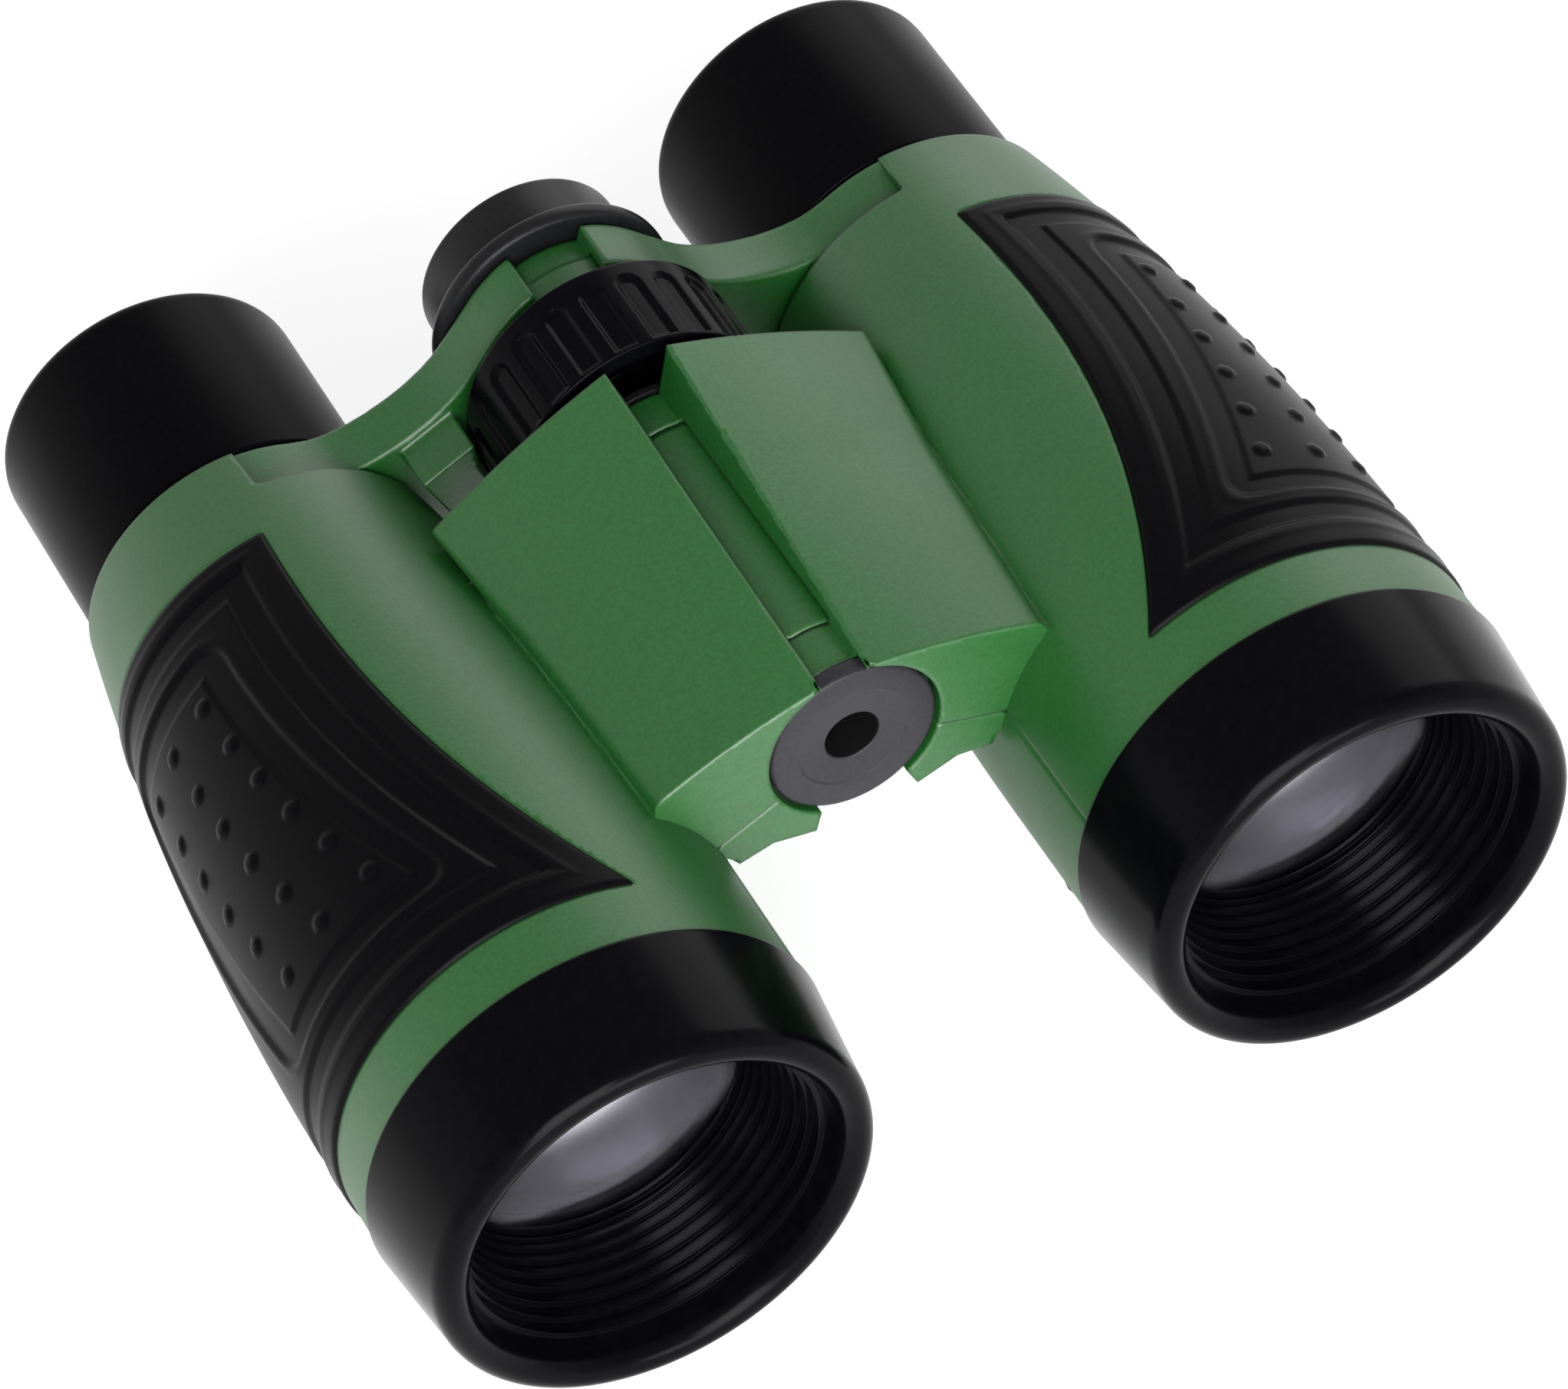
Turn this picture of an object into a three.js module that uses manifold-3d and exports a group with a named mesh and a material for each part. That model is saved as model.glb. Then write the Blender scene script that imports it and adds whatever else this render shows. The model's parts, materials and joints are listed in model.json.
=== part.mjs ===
// Children's folding binoculars with a centre focus wheel and a small compass between the eyecups.
// Millimetres, +Z up, +Y the viewing direction, +X to the user's right. The pair lies on its barrels,
// with the origin on the ground under the middle of its box.
//
// Each side is made in a frame of its own: the hinge axis is the Y axis, local +X runs from the
// hinge to the barrel's axis and the parting plane of the shell halves is local z = 0. The right
// side is turned down by foldAngle, and the left side is its mirror image.
import * as THREE from "three";
import { mergeVertices } from "three/addons/utils/BufferGeometryUtils.js";
import Module from "manifold-3d";

const wasm = await Module();
wasm.setup();

// ---------- driving dimensions ----------
const armLength = 35.9; // hinge axis to barrel axis
const foldAngle = THREE.MathUtils.degToRad(21); // how far each side hangs below flat
const gap = 0.3; // clearance between touching pieces
const slideGap = 0.4; // radial clearance of what turns or slides
const overcut = 1; // how far a cutting tool runs past what it cuts

// Objective, from the glass outwards. The barrel's size follows from the lens.
const lensRadius = 15;
const lensEdge = 1.8;
const lensSag = 1.4;
const lensOverlap = 1.5; // how far the hood's ledge covers the lens
const ledgeThickness = 1.2;
const retainerLength = 2;
const spigotWall = 3.65;
const spigotDepth = 8.4;
const boreStep = 0.6; // height of each anti-glare step
const boreSteps = 4;
const rimWidth = 3.3;
const rimRise = 2.1; // from the mouth's edge to the crest of the rim
const hoodFlare = 0.3; // the hood's rear edge stands out from the shell by this
const apertureRadius = lensRadius - lensOverlap;
const mouthRadius = apertureRadius + boreStep * boreSteps + 1;
const hoodFrontRadius = mouthRadius + rimWidth;

// Eyepieces, from the tube outwards.
const tubeRadius = 13;
const tubeWall = 1.4;
const eyecupWall = 1.25;
const eyecupLip = 2.6;
const eyecupRound = 1.6;
const eyecupChamfer = 0.8;
const eyeLensThickness = 2.4;
const eyeLensDish = 0.7;
const eyeLensSeat = 0.8; // how far the seat covers the eye lens
const eyeSeatLength = 1;
const eyeRetainerLength = 1.6;
const eyeLensRadius = tubeRadius - 4;
const eyeSeatBore = eyeLensRadius - eyeLensSeat;
const eyeOpening = eyeLensRadius + 0.6;
const eyecupRadius = tubeRadius + gap + eyecupWall;

// Eyepiece arms.
const armThickness = 5.6;
const ocularRingWall = 1.4;
const hubRadius = 10.9;
const hubTopAngle = THREE.MathUtils.degToRad(92);
const hubJoinAngle = THREE.MathUtils.degToRad(65);
const hubLowAngle = THREE.MathUtils.degToRad(-40);
const ringJoinAngle = THREE.MathUtils.degToRad(145);
const waistHeight = 5.7;
const frontRingRadius = hubRadius - 1.3;
const rearRingRadius = hubRadius - 1.7;
const ocularRingRadius = tubeRadius + gap + ocularRingWall;
const stubWidth = 6.1;
const stubRoom = 0.8; // between the stub and the barrel beside it
const stubLength = 4.8;

// Barrel shells.
const shellWall = 1.8;
const collarWall = 0.7;
const taperPower = 2.1;
const bellyRadius = lensRadius + gap + spigotWall + gap + shellWall;
const collarBore = Math.max(ocularRingRadius, eyecupRadius) + gap;
const collarRadius = collarBore + collarWall;
const hoodRearRadius = bellyRadius + hoodFlare;
const notchHalfAngle = THREE.MathUtils.degToRad(64.5);

// Focus wheel and screw.
const screwRadius = 3.2;
const clipThickness = 1.2;
const clipRadius = screwRadius + 2.2;
const wheelRadius = 12.9;
const wheelLength = 10.5;
const wheelWall = 1.8;
const wheelHubRadius = screwRadius + 2.8;
const wheelWebThickness = 2.4;
const wheelGrooves = 22;
const grooveDepth = 0.6;
const grooveMargin = 1.3; // plain band at each edge of the wheel

// Hinge.
const sleeveWall = 1.2;
const sleeveBore = screwRadius + slideGap;
const sleeveRadius = sleeveBore + sleeveWall;
const knuckleRadius = sleeveRadius + slideGap + 2.3;
const knuckleSeat = knuckleRadius + 0.65; // hollow in the wings over the other side's knuckles
const frontKnuckle = 4.6;
const rearKnuckle = 4;
const capRadius = knuckleSeat - gap;
const capThickness = 1.6;
const capChamfer = 0.3;
const capRimWidth = 2.4;
const capDish = 0.35;
const capSpigotLength = 4;
const capHole = 2.5;
const washerThickness = 0.8;
const washerRadius = knuckleRadius + 0.2;

// Stations along the optical axis, from the rim of the objective hoods backwards.
const lipCrestY = 1.5;
const hoodLength = 12.6;
const wingSetback = 14.2; // from the hood to the front of the hinge wing
const wingLength = 38.2;
const padSetback = 5.9; // from the hood to the front of the grip pad
const padOverhang = 6.7; // how far the pad runs on behind the wing
const wheelTravelRoom = 1; // room for the wheel to move forwards
const forwardRoom = 0.8; // the same for the arm in the collar's notch
const eyepieceLength = 22.66;
const hoodRearY = lipCrestY - hoodLength;
const ledgeY = hoodRearY - 0.6;
const padFrontY = hoodRearY - padSetback;
const wingFrontY = hoodRearY - wingSetback;
const wingRearY = wingFrontY - wingLength;
const padRearY = wingRearY - padOverhang;
const wheelFrontY = wingRearY - wheelTravelRoom;
const wheelRearY = wheelFrontY - wheelLength;
const armFrontY = wheelRearY - 2.4;
const armRearY = armFrontY - armThickness;
const armMidY = (armFrontY + armRearY) / 2;
const notchFrontY = armFrontY + forwardRoom;
const shellRearY = armRearY + forwardRoom;
const eyecupRearY = armRearY - eyepieceLength;
const bellyY = wingFrontY + 1.3; // behind this the barrel tapers
const tubeFrontY = armFrontY + 10.4;
const eyeSeatY = eyecupRearY + 10.16;
const screwFrontY = wingRearY + 17.5;

// Grip pads.
const padInset = 0.9; // how deep a pad sits in its shell
const padProud = 0.5; // how far it stands out
const padEdgeRear = 5.6; // inner edge at the rear, inwards from the barrel axis
const padEdgeReach = 9.8; // how much further in the edge runs at the front
const padEdgePower = 2.4;

// Hinge wings, in section across the side's own frame.
const wingTopInnerX = -0.85;
const wingTopInnerZ = knuckleSeat + 0.25;
const wingTopOuterX = 17;
const wingTopOuterZ = 9.8;
const wingRearShift = 1.9; // the outer top edge moves out by this towards the rear
const wingRearLift = 4.4; // the inner top edge rises by this towards the rear
const wingOuterLift = 1;
const wingArch = 0.6;
const wingFlankWidth = 1.8;
const wingFlankDrop = 3;
const wingRootDepth = 2; // how far the wing runs into the barrel
const wingUndersideZ = -3.5;
const lobeX = 7.8;
const lobeZ = -6.6;
const lobeFlat = 1.6;
const lobeRise = 1.7;
const lobeSweep = 3.2;

// Compass.
const flangeRadius = 11.75;
const flangeThickness = 1.9;
const flangeRound = 0.6;
const compassRadius = flangeRadius - 1.95;
const compassLength = 8;
const compassWall = 1.5;
const compassChamfer = 0.4;
const clipHollow = 2.5;
const compassFloor = 1.1;
const dialThickness = 0.4;
const pivotHeight = 1.1;
const pivotRadius = 1.2;
const pivotTipRadius = 0.5;
const needleThickness = 0.35;
const needleRoom = 1.8; // from the needle's tips to the wall
const needleWidth = 2.2;
const coverThickness = 1;
const coverRecess = 0.3;

// Screws.
const screwShank = 1.1;
const screwHead = 2;
const screwHeadHeight = 1.2;
const shellScrewX = knuckleSeat + 4.25;
const shellScrewYs = [wingFrontY - 8.7, wingRearY + 7.5];
const shellScrewTopZ = 5;
const shellScrewHeadZ = -3;

const barrelSides = 32;
const smallSides = 20;
const screwSides = 12;

// ---------- making solids ----------
// A closed three.js geometry as a manifold-3d solid, facing out.
function solid(geometry) {
  const bare = geometry.index ? geometry.toNonIndexed() : geometry.clone();
  bare.deleteAttribute("normal");
  bare.deleteAttribute("uv");
  const merged = mergeVertices(bare, 1e-4);
  return new wasm.Manifold(
    new wasm.Mesh({
      numProp: 3,
      vertProperties: merged.attributes.position.array,
      triVerts: new Uint32Array(merged.index.array),
    }),
  );
}

function geometryOf(made) {
  const mesh = made.getMesh();
  const geometry = new THREE.BufferGeometry();
  geometry.setAttribute("position", new THREE.BufferAttribute(mesh.vertProperties, mesh.numProp));
  geometry.setIndex(new THREE.BufferAttribute(mesh.triVerts, 1));
  geometry.computeVertexNormals();
  return geometry;
}

const unionOf = (solids) => solids.reduce((a, b) => a.add(b));

// A closed profile of [radius, height] pairs turned about the Y axis.
function lathe(profile, sides) {
  const points = profile.map(([radius, height]) => new THREE.Vector2(radius, height));
  if (THREE.ShapeUtils.area(points) < 0) points.reverse();
  if (points[0].x > 0 || points[points.length - 1].x > 0) points.push(points[0].clone());
  return new THREE.LatheGeometry(points, sides);
}

const turned = (profile, sides = smallSides, x = 0) => solid(lathe(profile, sides).translate(x, 0, 0));

function rod(radius, y0, y1, x = 0, sides = smallSides) {
  const [low, high] = [Math.min(y0, y1), Math.max(y0, y1)];
  return turned([[0, low], [radius, low], [radius, high], [0, high]], sides, x);
}

function ring(outer, inner, y0, y1, x = 0, sides = smallSides) {
  const [low, high] = [Math.min(y0, y1), Math.max(y0, y1)];
  return turned([[inner, low], [outer, low], [outer, high], [inner, high]], sides, x);
}

// A shape drawn in x and z, pushed along Y from y0 to y1.
function pushed(shape, y0, y1, steps = 1) {
  const [low, high] = [Math.min(y0, y1), Math.max(y0, y1)];
  const options = { depth: high - low, bevelEnabled: false, steps, curveSegments: 8 };
  return new THREE.ExtrudeGeometry(shape, options).rotateX(Math.PI / 2).translate(0, high, 0);
}

const alongY = (shape, y0, y1) => solid(pushed(shape, y0, y1));

// A shape drawn in x and y, pushed along Z both ways from the parting plane.
function throughZ(shape, halfHeight) {
  const options = { depth: 2 * halfHeight, bevelEnabled: false };
  return solid(new THREE.ExtrudeGeometry(shape, options).translate(0, 0, -halfHeight));
}

function box(x0, x1, y0, y1, z0, z1) {
  const geometry = new THREE.BoxGeometry(Math.abs(x1 - x0), Math.abs(y1 - y0), Math.abs(z1 - z0));
  return solid(geometry.translate((x0 + x1) / 2, (y0 + y1) / 2, (z0 + z1) / 2));
}

// A pin or hole along Z, with an optional head below it.
function upright(radius, x, y, z0, z1, headRadius = 0, headHeight = 0) {
  const foot = headRadius
    ? [[0, z0], [headRadius, z0], [headRadius, z0 + headHeight], [radius, z0 + headHeight]]
    : [[0, z0], [radius, z0]];
  const profile = [...foot, [radius, z1], [0, z1]];
  return solid(lathe(profile, screwSides).rotateX(Math.PI / 2).translate(x, y, 0));
}

// ---------- barrel profile ----------
function shellRadius(y) {
  const along = Math.max(0, (bellyY - y) / (bellyY - shellRearY));
  return bellyRadius - (bellyRadius - collarRadius) * along ** taperPower;
}

function stations(from, to, count) {
  return Array.from({ length: count + 1 }, (_, i) => from + ((to - from) * i) / count);
}

// ---------- barrel shell with its half of the hinge ----------
const shellFrontY = hoodRearY - gap;
const spigotRadius = lensRadius + gap + spigotWall;

function barrelBody() {
  const outer = stations(shellFrontY, shellRearY, 12).map((y) => [shellRadius(y), y]);
  return turned([[0, shellFrontY], ...outer, [0, shellRearY]], barrelSides, armLength);
}

function barrelHollow() {
  const taper = stations(bellyY, padRearY, 5).map((y) => [shellRadius(y) - shellWall, y]);
  const profile = [
    [0, shellFrontY + overcut],
    [bellyRadius - shellWall, shellFrontY + overcut],
    ...taper,
    [collarBore, notchFrontY + gap],
    [collarBore, shellRearY - overcut],
    [0, shellRearY - overcut],
  ];
  return turned(profile, barrelSides, armLength);
}

// The wing's section: arched top, outer flank running into the barrel, hollow underside and lobe.
function wingSection() {
  const shape = new THREE.Shape();
  const archPoint = (u) => {
    const x = wingTopInnerX + (wingTopOuterX - wingTopInnerX) * u;
    const z = wingTopInnerZ + (wingTopOuterZ - wingTopInnerZ) * u;
    return [x, z + wingArch * 4 * u * (1 - u)];
  };
  shape.moveTo(...archPoint(0));
  for (const u of stations(0, 1, 6).slice(1)) shape.lineTo(...archPoint(u));
  shape.lineTo(wingTopOuterX + wingFlankWidth, wingTopOuterZ - wingFlankDrop);
  shape.lineTo(armLength - collarRadius + wingRootDepth, 0);
  shape.lineTo(armLength - collarRadius, lobeZ / 3);
  shape.lineTo(armLength - bellyRadius, wingUndersideZ);
  shape.quadraticCurveTo(lobeX + lobeSweep, lobeZ + lobeRise, lobeX, lobeZ);
  shape.lineTo(lobeX - lobeFlat, lobeZ + lobeRise);
  shape.lineTo(sleeveRadius / 2, -sleeveRadius / 2);
  shape.lineTo(wingTopInnerX, 0);
  return shape;
}

// The wing, with its top rising and spreading towards the rear.
function wing() {
  const geometry = pushed(wingSection(), wingFrontY, wingRearY, 2);
  const position = geometry.getAttribute("position");
  const p = new THREE.Vector3();
  for (let i = 0; i < position.count; i++) {
    p.fromBufferAttribute(position, i);
    const across = (p.x - wingTopInnerX) / (wingTopOuterX - wingTopInnerX);
    const top = THREE.MathUtils.lerp(wingTopInnerZ, wingTopOuterZ, across) - wingArch / 2;
    if (p.z < top || across > 1.01) continue;
    const back = (wingFrontY - p.y) / wingLength;
    p.x += back * (wingRearShift * across + wingTopInnerX * (1 - across));
    p.z += back * THREE.MathUtils.lerp(wingRearLift, wingOuterLift, across);
    position.setXYZ(i, p.x, p.y, p.z);
  }
  return solid(geometry);
}

// Knuckle spans along Y: the left side has the two outer ones, the right side the long middle one.
const capRearY = wingFrontY - gap - capThickness;
const knuckleFrontY = capRearY - gap;
const outerSpans = [
  [knuckleFrontY, knuckleFrontY - frontKnuckle],
  [wingRearY + rearKnuckle, wingRearY],
];
const middleSpan = [knuckleFrontY - frontKnuckle - gap, wingRearY + rearKnuckle + gap];

// The hollow that a pad lies in, or the pad itself: a jacket round the barrel whose inner edges
// sweep towards the hinge at the front.
function padJacket(inset, proud, clearance) {
  const ys = stations(padFrontY + clearance, padRearY - clearance, 8);
  const outer = ys.map((y) => [shellRadius(y) + proud, y]);
  const inner = [...ys].reverse().map((y) => [shellRadius(y) - inset, y]);
  const jacket = turned([...outer, ...inner], barrelSides, armLength);
  const edge = stations(padFrontY, padRearY, 12).map((y) => {
    const forward = Math.max(0, (y - padRearY) / (padFrontY - padRearY));
    return [armLength - padEdgeRear - padEdgeReach * forward ** padEdgePower - clearance, y];
  });
  const beyond = bellyRadius + proud + overcut;
  const outline = new THREE.Shape();
  outline.moveTo(armLength + beyond, padRearY - overcut);
  outline.lineTo(armLength + beyond, padFrontY + overcut);
  outline.lineTo(edge[0][0], padFrontY + overcut);
  for (const [x, y] of edge) outline.lineTo(x, y);
  outline.lineTo(edge[edge.length - 1][0], padRearY - overcut);
  return jacket.intersect(throughZ(outline, beyond));
}

// The rear collar is cut away over a sector facing the hinge, so that the arm can slide in it.
function collarNotch() {
  const shape = new THREE.Shape();
  shape.moveTo(armLength, 0);
  const far = (shellRadius(notchFrontY) + overcut) / Math.cos(notchHalfAngle / 4);
  for (const turn of [-1, -0.5, 0, 0.5, 1]) {
    const angle = Math.PI + turn * notchHalfAngle;
    shape.lineTo(armLength + far * Math.cos(angle), far * Math.sin(angle));
  }
  return alongY(shape, notchFrontY, shellRearY - overcut);
}

function sideShell(ownSpans, otherSpans) {
  const body = barrelBody().add(wing());
  const seats = otherSpans.map(([y0, y1]) => rod(knuckleSeat, y0 + gap, y1 - gap));
  const capSeat = rod(knuckleSeat, wingFrontY + overcut, capRearY - gap, 0, barrelSides);
  const seated = body.subtract(unionOf([...seats, capSeat]));
  const knuckles = ownSpans.map(([y0, y1]) => rod(knuckleRadius, y0, y1));
  const sleeveHole = rod(sleeveRadius + slideGap, wingFrontY + overcut, wingRearY - overcut);
  return seated
    .add(unionOf(knuckles))
    .subtract(sleeveHole)
    .subtract(barrelHollow())
    .subtract(padJacket(padInset + gap, padProud + overcut, gap))
    .subtract(collarNotch());
}

// Splits a side at its parting plane and drills it for the shell screws.
function shellHalves(side) {
  const far = armLength + bellyRadius + overcut;
  const half = (z0, z1) => box(-far, far, shellFrontY + overcut, shellRearY - overcut, z0, z1);
  const drill = (radius, z1) =>
    unionOf(shellScrewYs.map((y) => upright(radius + gap, shellScrewX, y, -bellyRadius, z1 + gap)));
  const drilled = side
    .subtract(drill(screwShank, shellScrewTopZ))
    .subtract(drill(screwHead, shellScrewHeadZ));
  return {
    upper: drilled.intersect(half(gap / 2, far)),
    lower: drilled.intersect(half(-far, -gap / 2)),
  };
}

const shellScrew = (y) =>
  upright(
    screwShank,
    shellScrewX,
    y,
    shellScrewHeadZ - screwHeadHeight,
    shellScrewTopZ,
    screwHead,
    screwHeadHeight,
  );

// ---------- objective ----------
function objectiveHood() {
  const spigotRearY = hoodRearY - spigotDepth;
  const lipRadius = (hoodFrontRadius - mouthRadius) / 2;
  const lipCentre = (hoodFrontRadius + mouthRadius) / 2;
  const lip = stations(0, Math.PI, 6).map((a) => [
    lipCentre - lipRadius * Math.cos(a),
    lipCrestY - rimRise * (1 - Math.sin(a)),
  ]);
  const stepLength = (lipCrestY - rimRise - boreStep - ledgeY) / boreSteps;
  const steps = [];
  for (let i = 0; i < boreSteps; i++) {
    const radius = apertureRadius + boreStep * (i + 1);
    steps.push([radius, ledgeY + stepLength * i]);
    steps.push([radius, ledgeY + stepLength * (i + 1)]);
  }
  const profile = [
    [apertureRadius, ledgeY - ledgeThickness],
    [apertureRadius, ledgeY],
    ...steps,
    ...lip,
    [hoodRearRadius, hoodRearY],
    [spigotRadius, hoodRearY],
    [spigotRadius, spigotRearY],
    [lensRadius + gap, spigotRearY],
    [lensRadius + gap, ledgeY - ledgeThickness],
  ];
  return turned(profile, barrelSides, armLength);
}

const bulgeAtLedge = lensSag * (1 - (apertureRadius / lensRadius) ** 2);
const lensFrontEdgeY = ledgeY - ledgeThickness - gap - bulgeAtLedge;

// A double-convex lens of the given edge, bulging by sag on both faces.
function convexLens(radius, edge, sag, frontEdgeY, x) {
  const curve = (v) => sag * (1 - v * v);
  const front = stations(1, 0, 3).map((v) => [radius * v, frontEdgeY + curve(v)]);
  const rear = stations(0, 1, 3).map((v) => [radius * v, frontEdgeY - edge - curve(v)]);
  return turned([...rear, ...front], smallSides, x);
}

function objectiveRetainer() {
  const frontY = lensFrontEdgeY - lensEdge - gap - bulgeAtLedge;
  return ring(lensRadius, apertureRadius, frontY, frontY - retainerLength, armLength);
}

// ---------- eyepiece ----------
// A point at a distance and an angle from x on the hinge-to-barrel line.
const polar = (x, radius, angle) => [x + radius * Math.cos(angle), radius * Math.sin(angle)];

// The arm: hub sector, waisted web and ring round the eyepiece tube.
function eyepieceArm(ownSpan, ownRadius, otherSpan, otherRadius) {
  const hubEdgeX = hubRadius * Math.cos(hubTopAngle);
  const waistInner = hubRadius + 1;
  const waistOuter = armLength - ocularRingRadius - 3;
  const ringTop = polar(armLength, ocularRingRadius, ringJoinAngle);
  const ringFoot = polar(armLength, ocularRingRadius, -ringJoinAngle);
  const shape = new THREE.Shape();
  shape.moveTo(...polar(0, hubRadius, hubTopAngle));
  shape.absarc(0, 0, hubRadius, hubTopAngle, hubJoinAngle, true);
  shape.bezierCurveTo(waistInner, waistHeight, waistOuter, waistHeight, ...ringTop);
  shape.lineTo(armLength, ocularRingRadius / 2);
  shape.lineTo(armLength, -ocularRingRadius / 2);
  shape.lineTo(...ringFoot);
  const hubLow = polar(0, hubRadius, hubLowAngle);
  shape.bezierCurveTo(waistOuter, -waistHeight, waistInner, -waistHeight, ...hubLow);
  shape.lineTo(sleeveRadius, -sleeveRadius / 2);
  shape.lineTo(hubEdgeX, 0);
  const web = alongY(shape, armFrontY, armRearY);
  const ownRing = rod(ownRadius, ...ownSpan);
  const otherSeat = rod(otherRadius + gap, otherSpan[0] + gap, otherSpan[1] - gap);
  const ocularRing = rod(ocularRingRadius, armFrontY, armRearY, armLength, barrelSides);
  const screwHole = upright(screwShank + gap, armLength, armMidY, -ocularRingRadius - overcut, 0);
  return web
    .add(ocularRing)
    .subtract(otherSeat)
    .add(ownRing)
    .subtract(rod(screwRadius + slideGap, armFrontY + overcut, armRearY - overcut))
    .subtract(rod(tubeRadius + gap, armFrontY + overcut, armRearY - overcut, armLength, barrelSides))
    .subtract(screwHole);
}

// The block ahead of the right arm's web, which runs beside the focus wheel.
function armStub() {
  const frontY = armFrontY + stubLength;
  const outerX = armLength - shellRadius(frontY) - stubRoom;
  return box(outerX - stubWidth, outerX, frontY, armMidY, -waistHeight, waistHeight)
    .subtract(rod(wheelRadius + slideGap, armFrontY + gap, wheelFrontY, 0, barrelSides));
}

const frontRingSpan = [armFrontY, armMidY + gap / 2];
const rearRingSpan = [armMidY - gap / 2, armRearY];
const eyecupFrontY = armRearY - gap;
const tubeRearY = eyecupRearY + eyecupLip + gap;
const tubeBore = tubeRadius - tubeWall;
const eyeLensFrontY = eyeSeatY - eyeSeatLength - gap;
const eyeRetainerFrontY = eyeLensFrontY - eyeLensThickness - gap;

function eyepieceTube() {
  const pocket = eyeLensRadius + gap;
  const profile = [
    [tubeBore, tubeFrontY],
    [tubeRadius, tubeFrontY],
    [tubeRadius, tubeRearY],
    [pocket, tubeRearY],
    [pocket, eyeSeatY - eyeSeatLength],
    [eyeSeatBore, eyeSeatY - eyeSeatLength],
    [eyeSeatBore, eyeSeatY],
    [tubeBore, eyeSeatY],
  ];
  const screwHole = upright(screwShank + gap, armLength, armMidY, -tubeRadius - overcut, 0);
  return turned(profile, smallSides, armLength).subtract(screwHole);
}

function eyecup() {
  const bore = tubeRadius + gap;
  const corner = stations(0, Math.PI / 2, 3).map((a) => [
    eyecupRadius - eyecupRound * (1 - Math.cos(a)),
    eyecupRearY + eyecupRound * (1 - Math.sin(a)),
  ]);
  const profile = [
    [bore, eyecupFrontY],
    [eyecupRadius, eyecupFrontY],
    ...corner,
    [eyeOpening + eyecupChamfer, eyecupRearY],
    [eyeOpening, eyecupRearY + eyecupChamfer],
    [eyeOpening, eyecupRearY + eyecupLip],
    [bore, eyecupRearY + eyecupLip],
  ];
  return turned(profile, barrelSides, armLength);
}

// A double-concave lens.
function eyepieceLens() {
  const curve = (v) => eyeLensDish * (1 - v * v);
  const front = stations(1, 0, 3).map((v) => [eyeLensRadius * v, eyeLensFrontY - curve(v)]);
  const rearY = eyeLensFrontY - eyeLensThickness;
  const rear = stations(0, 1, 3).map((v) => [eyeLensRadius * v, rearY + curve(v)]);
  return turned([...rear, ...front], smallSides, armLength);
}

const eyepieceRetainer = () =>
  ring(
    eyeLensRadius,
    eyeSeatBore,
    eyeRetainerFrontY,
    eyeRetainerFrontY - eyeRetainerLength,
    armLength,
  );

const armScrew = () =>
  upright(screwShank, armLength, armMidY, -ocularRingRadius + gap, -tubeBore - gap);

// ---------- hinge and focus train ----------
function frontCap() {
  const spigot = sleeveBore - gap;
  const frontY = capRearY + capThickness;
  const profile = [
    [capHole, capRearY - capSpigotLength],
    [spigot, capRearY - capSpigotLength],
    [spigot, capRearY],
    [capRadius, capRearY],
    [capRadius, frontY - capChamfer],
    [capRadius - capChamfer, frontY],
    [capRadius - capRimWidth, frontY],
    [capHole, frontY - capDish],
  ];
  return turned(profile, barrelSides);
}

const hingeSleeve = () => ring(sleeveRadius, sleeveBore, knuckleFrontY, wingRearY);

const washerFrontY = wingRearY - gap;
const washerRearY = washerFrontY - washerThickness;
const hingeWasher = () => ring(washerRadius, screwRadius + slideGap, washerFrontY, washerRearY);

function focusWheel() {
  const webMidY = (wheelFrontY + wheelRearY) / 2;
  const rim = wheelRadius - wheelWall;
  const bore = screwRadius + gap;
  const profile = [
    [bore, armFrontY + gap],
    [wheelHubRadius, armFrontY + gap],
    [wheelHubRadius, webMidY - wheelWebThickness / 2],
    [rim, webMidY - wheelWebThickness / 2],
    [rim, wheelRearY],
    [wheelRadius, wheelRearY],
    [wheelRadius, wheelFrontY],
    [rim, wheelFrontY],
    [rim, webMidY + wheelWebThickness / 2],
    [wheelHubRadius, webMidY + wheelWebThickness / 2],
    [wheelHubRadius, washerRearY - wheelTravelRoom],
    [bore, washerRearY - wheelTravelRoom],
  ];
  const pitch = (2 * Math.PI) / wheelGrooves;
  const halfWidth = (pitch * wheelRadius) / 5;
  const bottom = wheelRadius - grooveDepth;
  const groove = new THREE.Shape();
  groove.moveTo(-halfWidth + grooveDepth, bottom);
  groove.lineTo(halfWidth - grooveDepth, bottom);
  groove.lineTo(halfWidth, wheelRadius + overcut);
  groove.lineTo(-halfWidth, wheelRadius + overcut);
  const cuts = Array.from({ length: wheelGrooves }, (_, i) =>
    solid(pushed(groove, wheelFrontY - grooveMargin, wheelRearY + grooveMargin).rotateY(pitch * i)),
  );
  return turned(profile, 2 * wheelGrooves).subtract(unionOf(cuts));
}

const clipFrontY = armRearY - gap;
const clipRearY = clipFrontY - clipThickness;
const focusScrew = () => rod(screwRadius, screwFrontY, clipRearY - 0.6);
const screwClip = () => ring(clipRadius, screwRadius + gap, clipFrontY, clipRearY);

// ---------- compass ----------
const compassFrontY = armRearY - gap;
const compassRearY = compassFrontY - compassLength;
const dialFloorY = compassFrontY - clipHollow - compassFloor;
const dialBackY = dialFloorY - gap;
const cupBore = compassRadius - compassWall;
const needleY = dialBackY - dialThickness - gap - pivotHeight;

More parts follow.
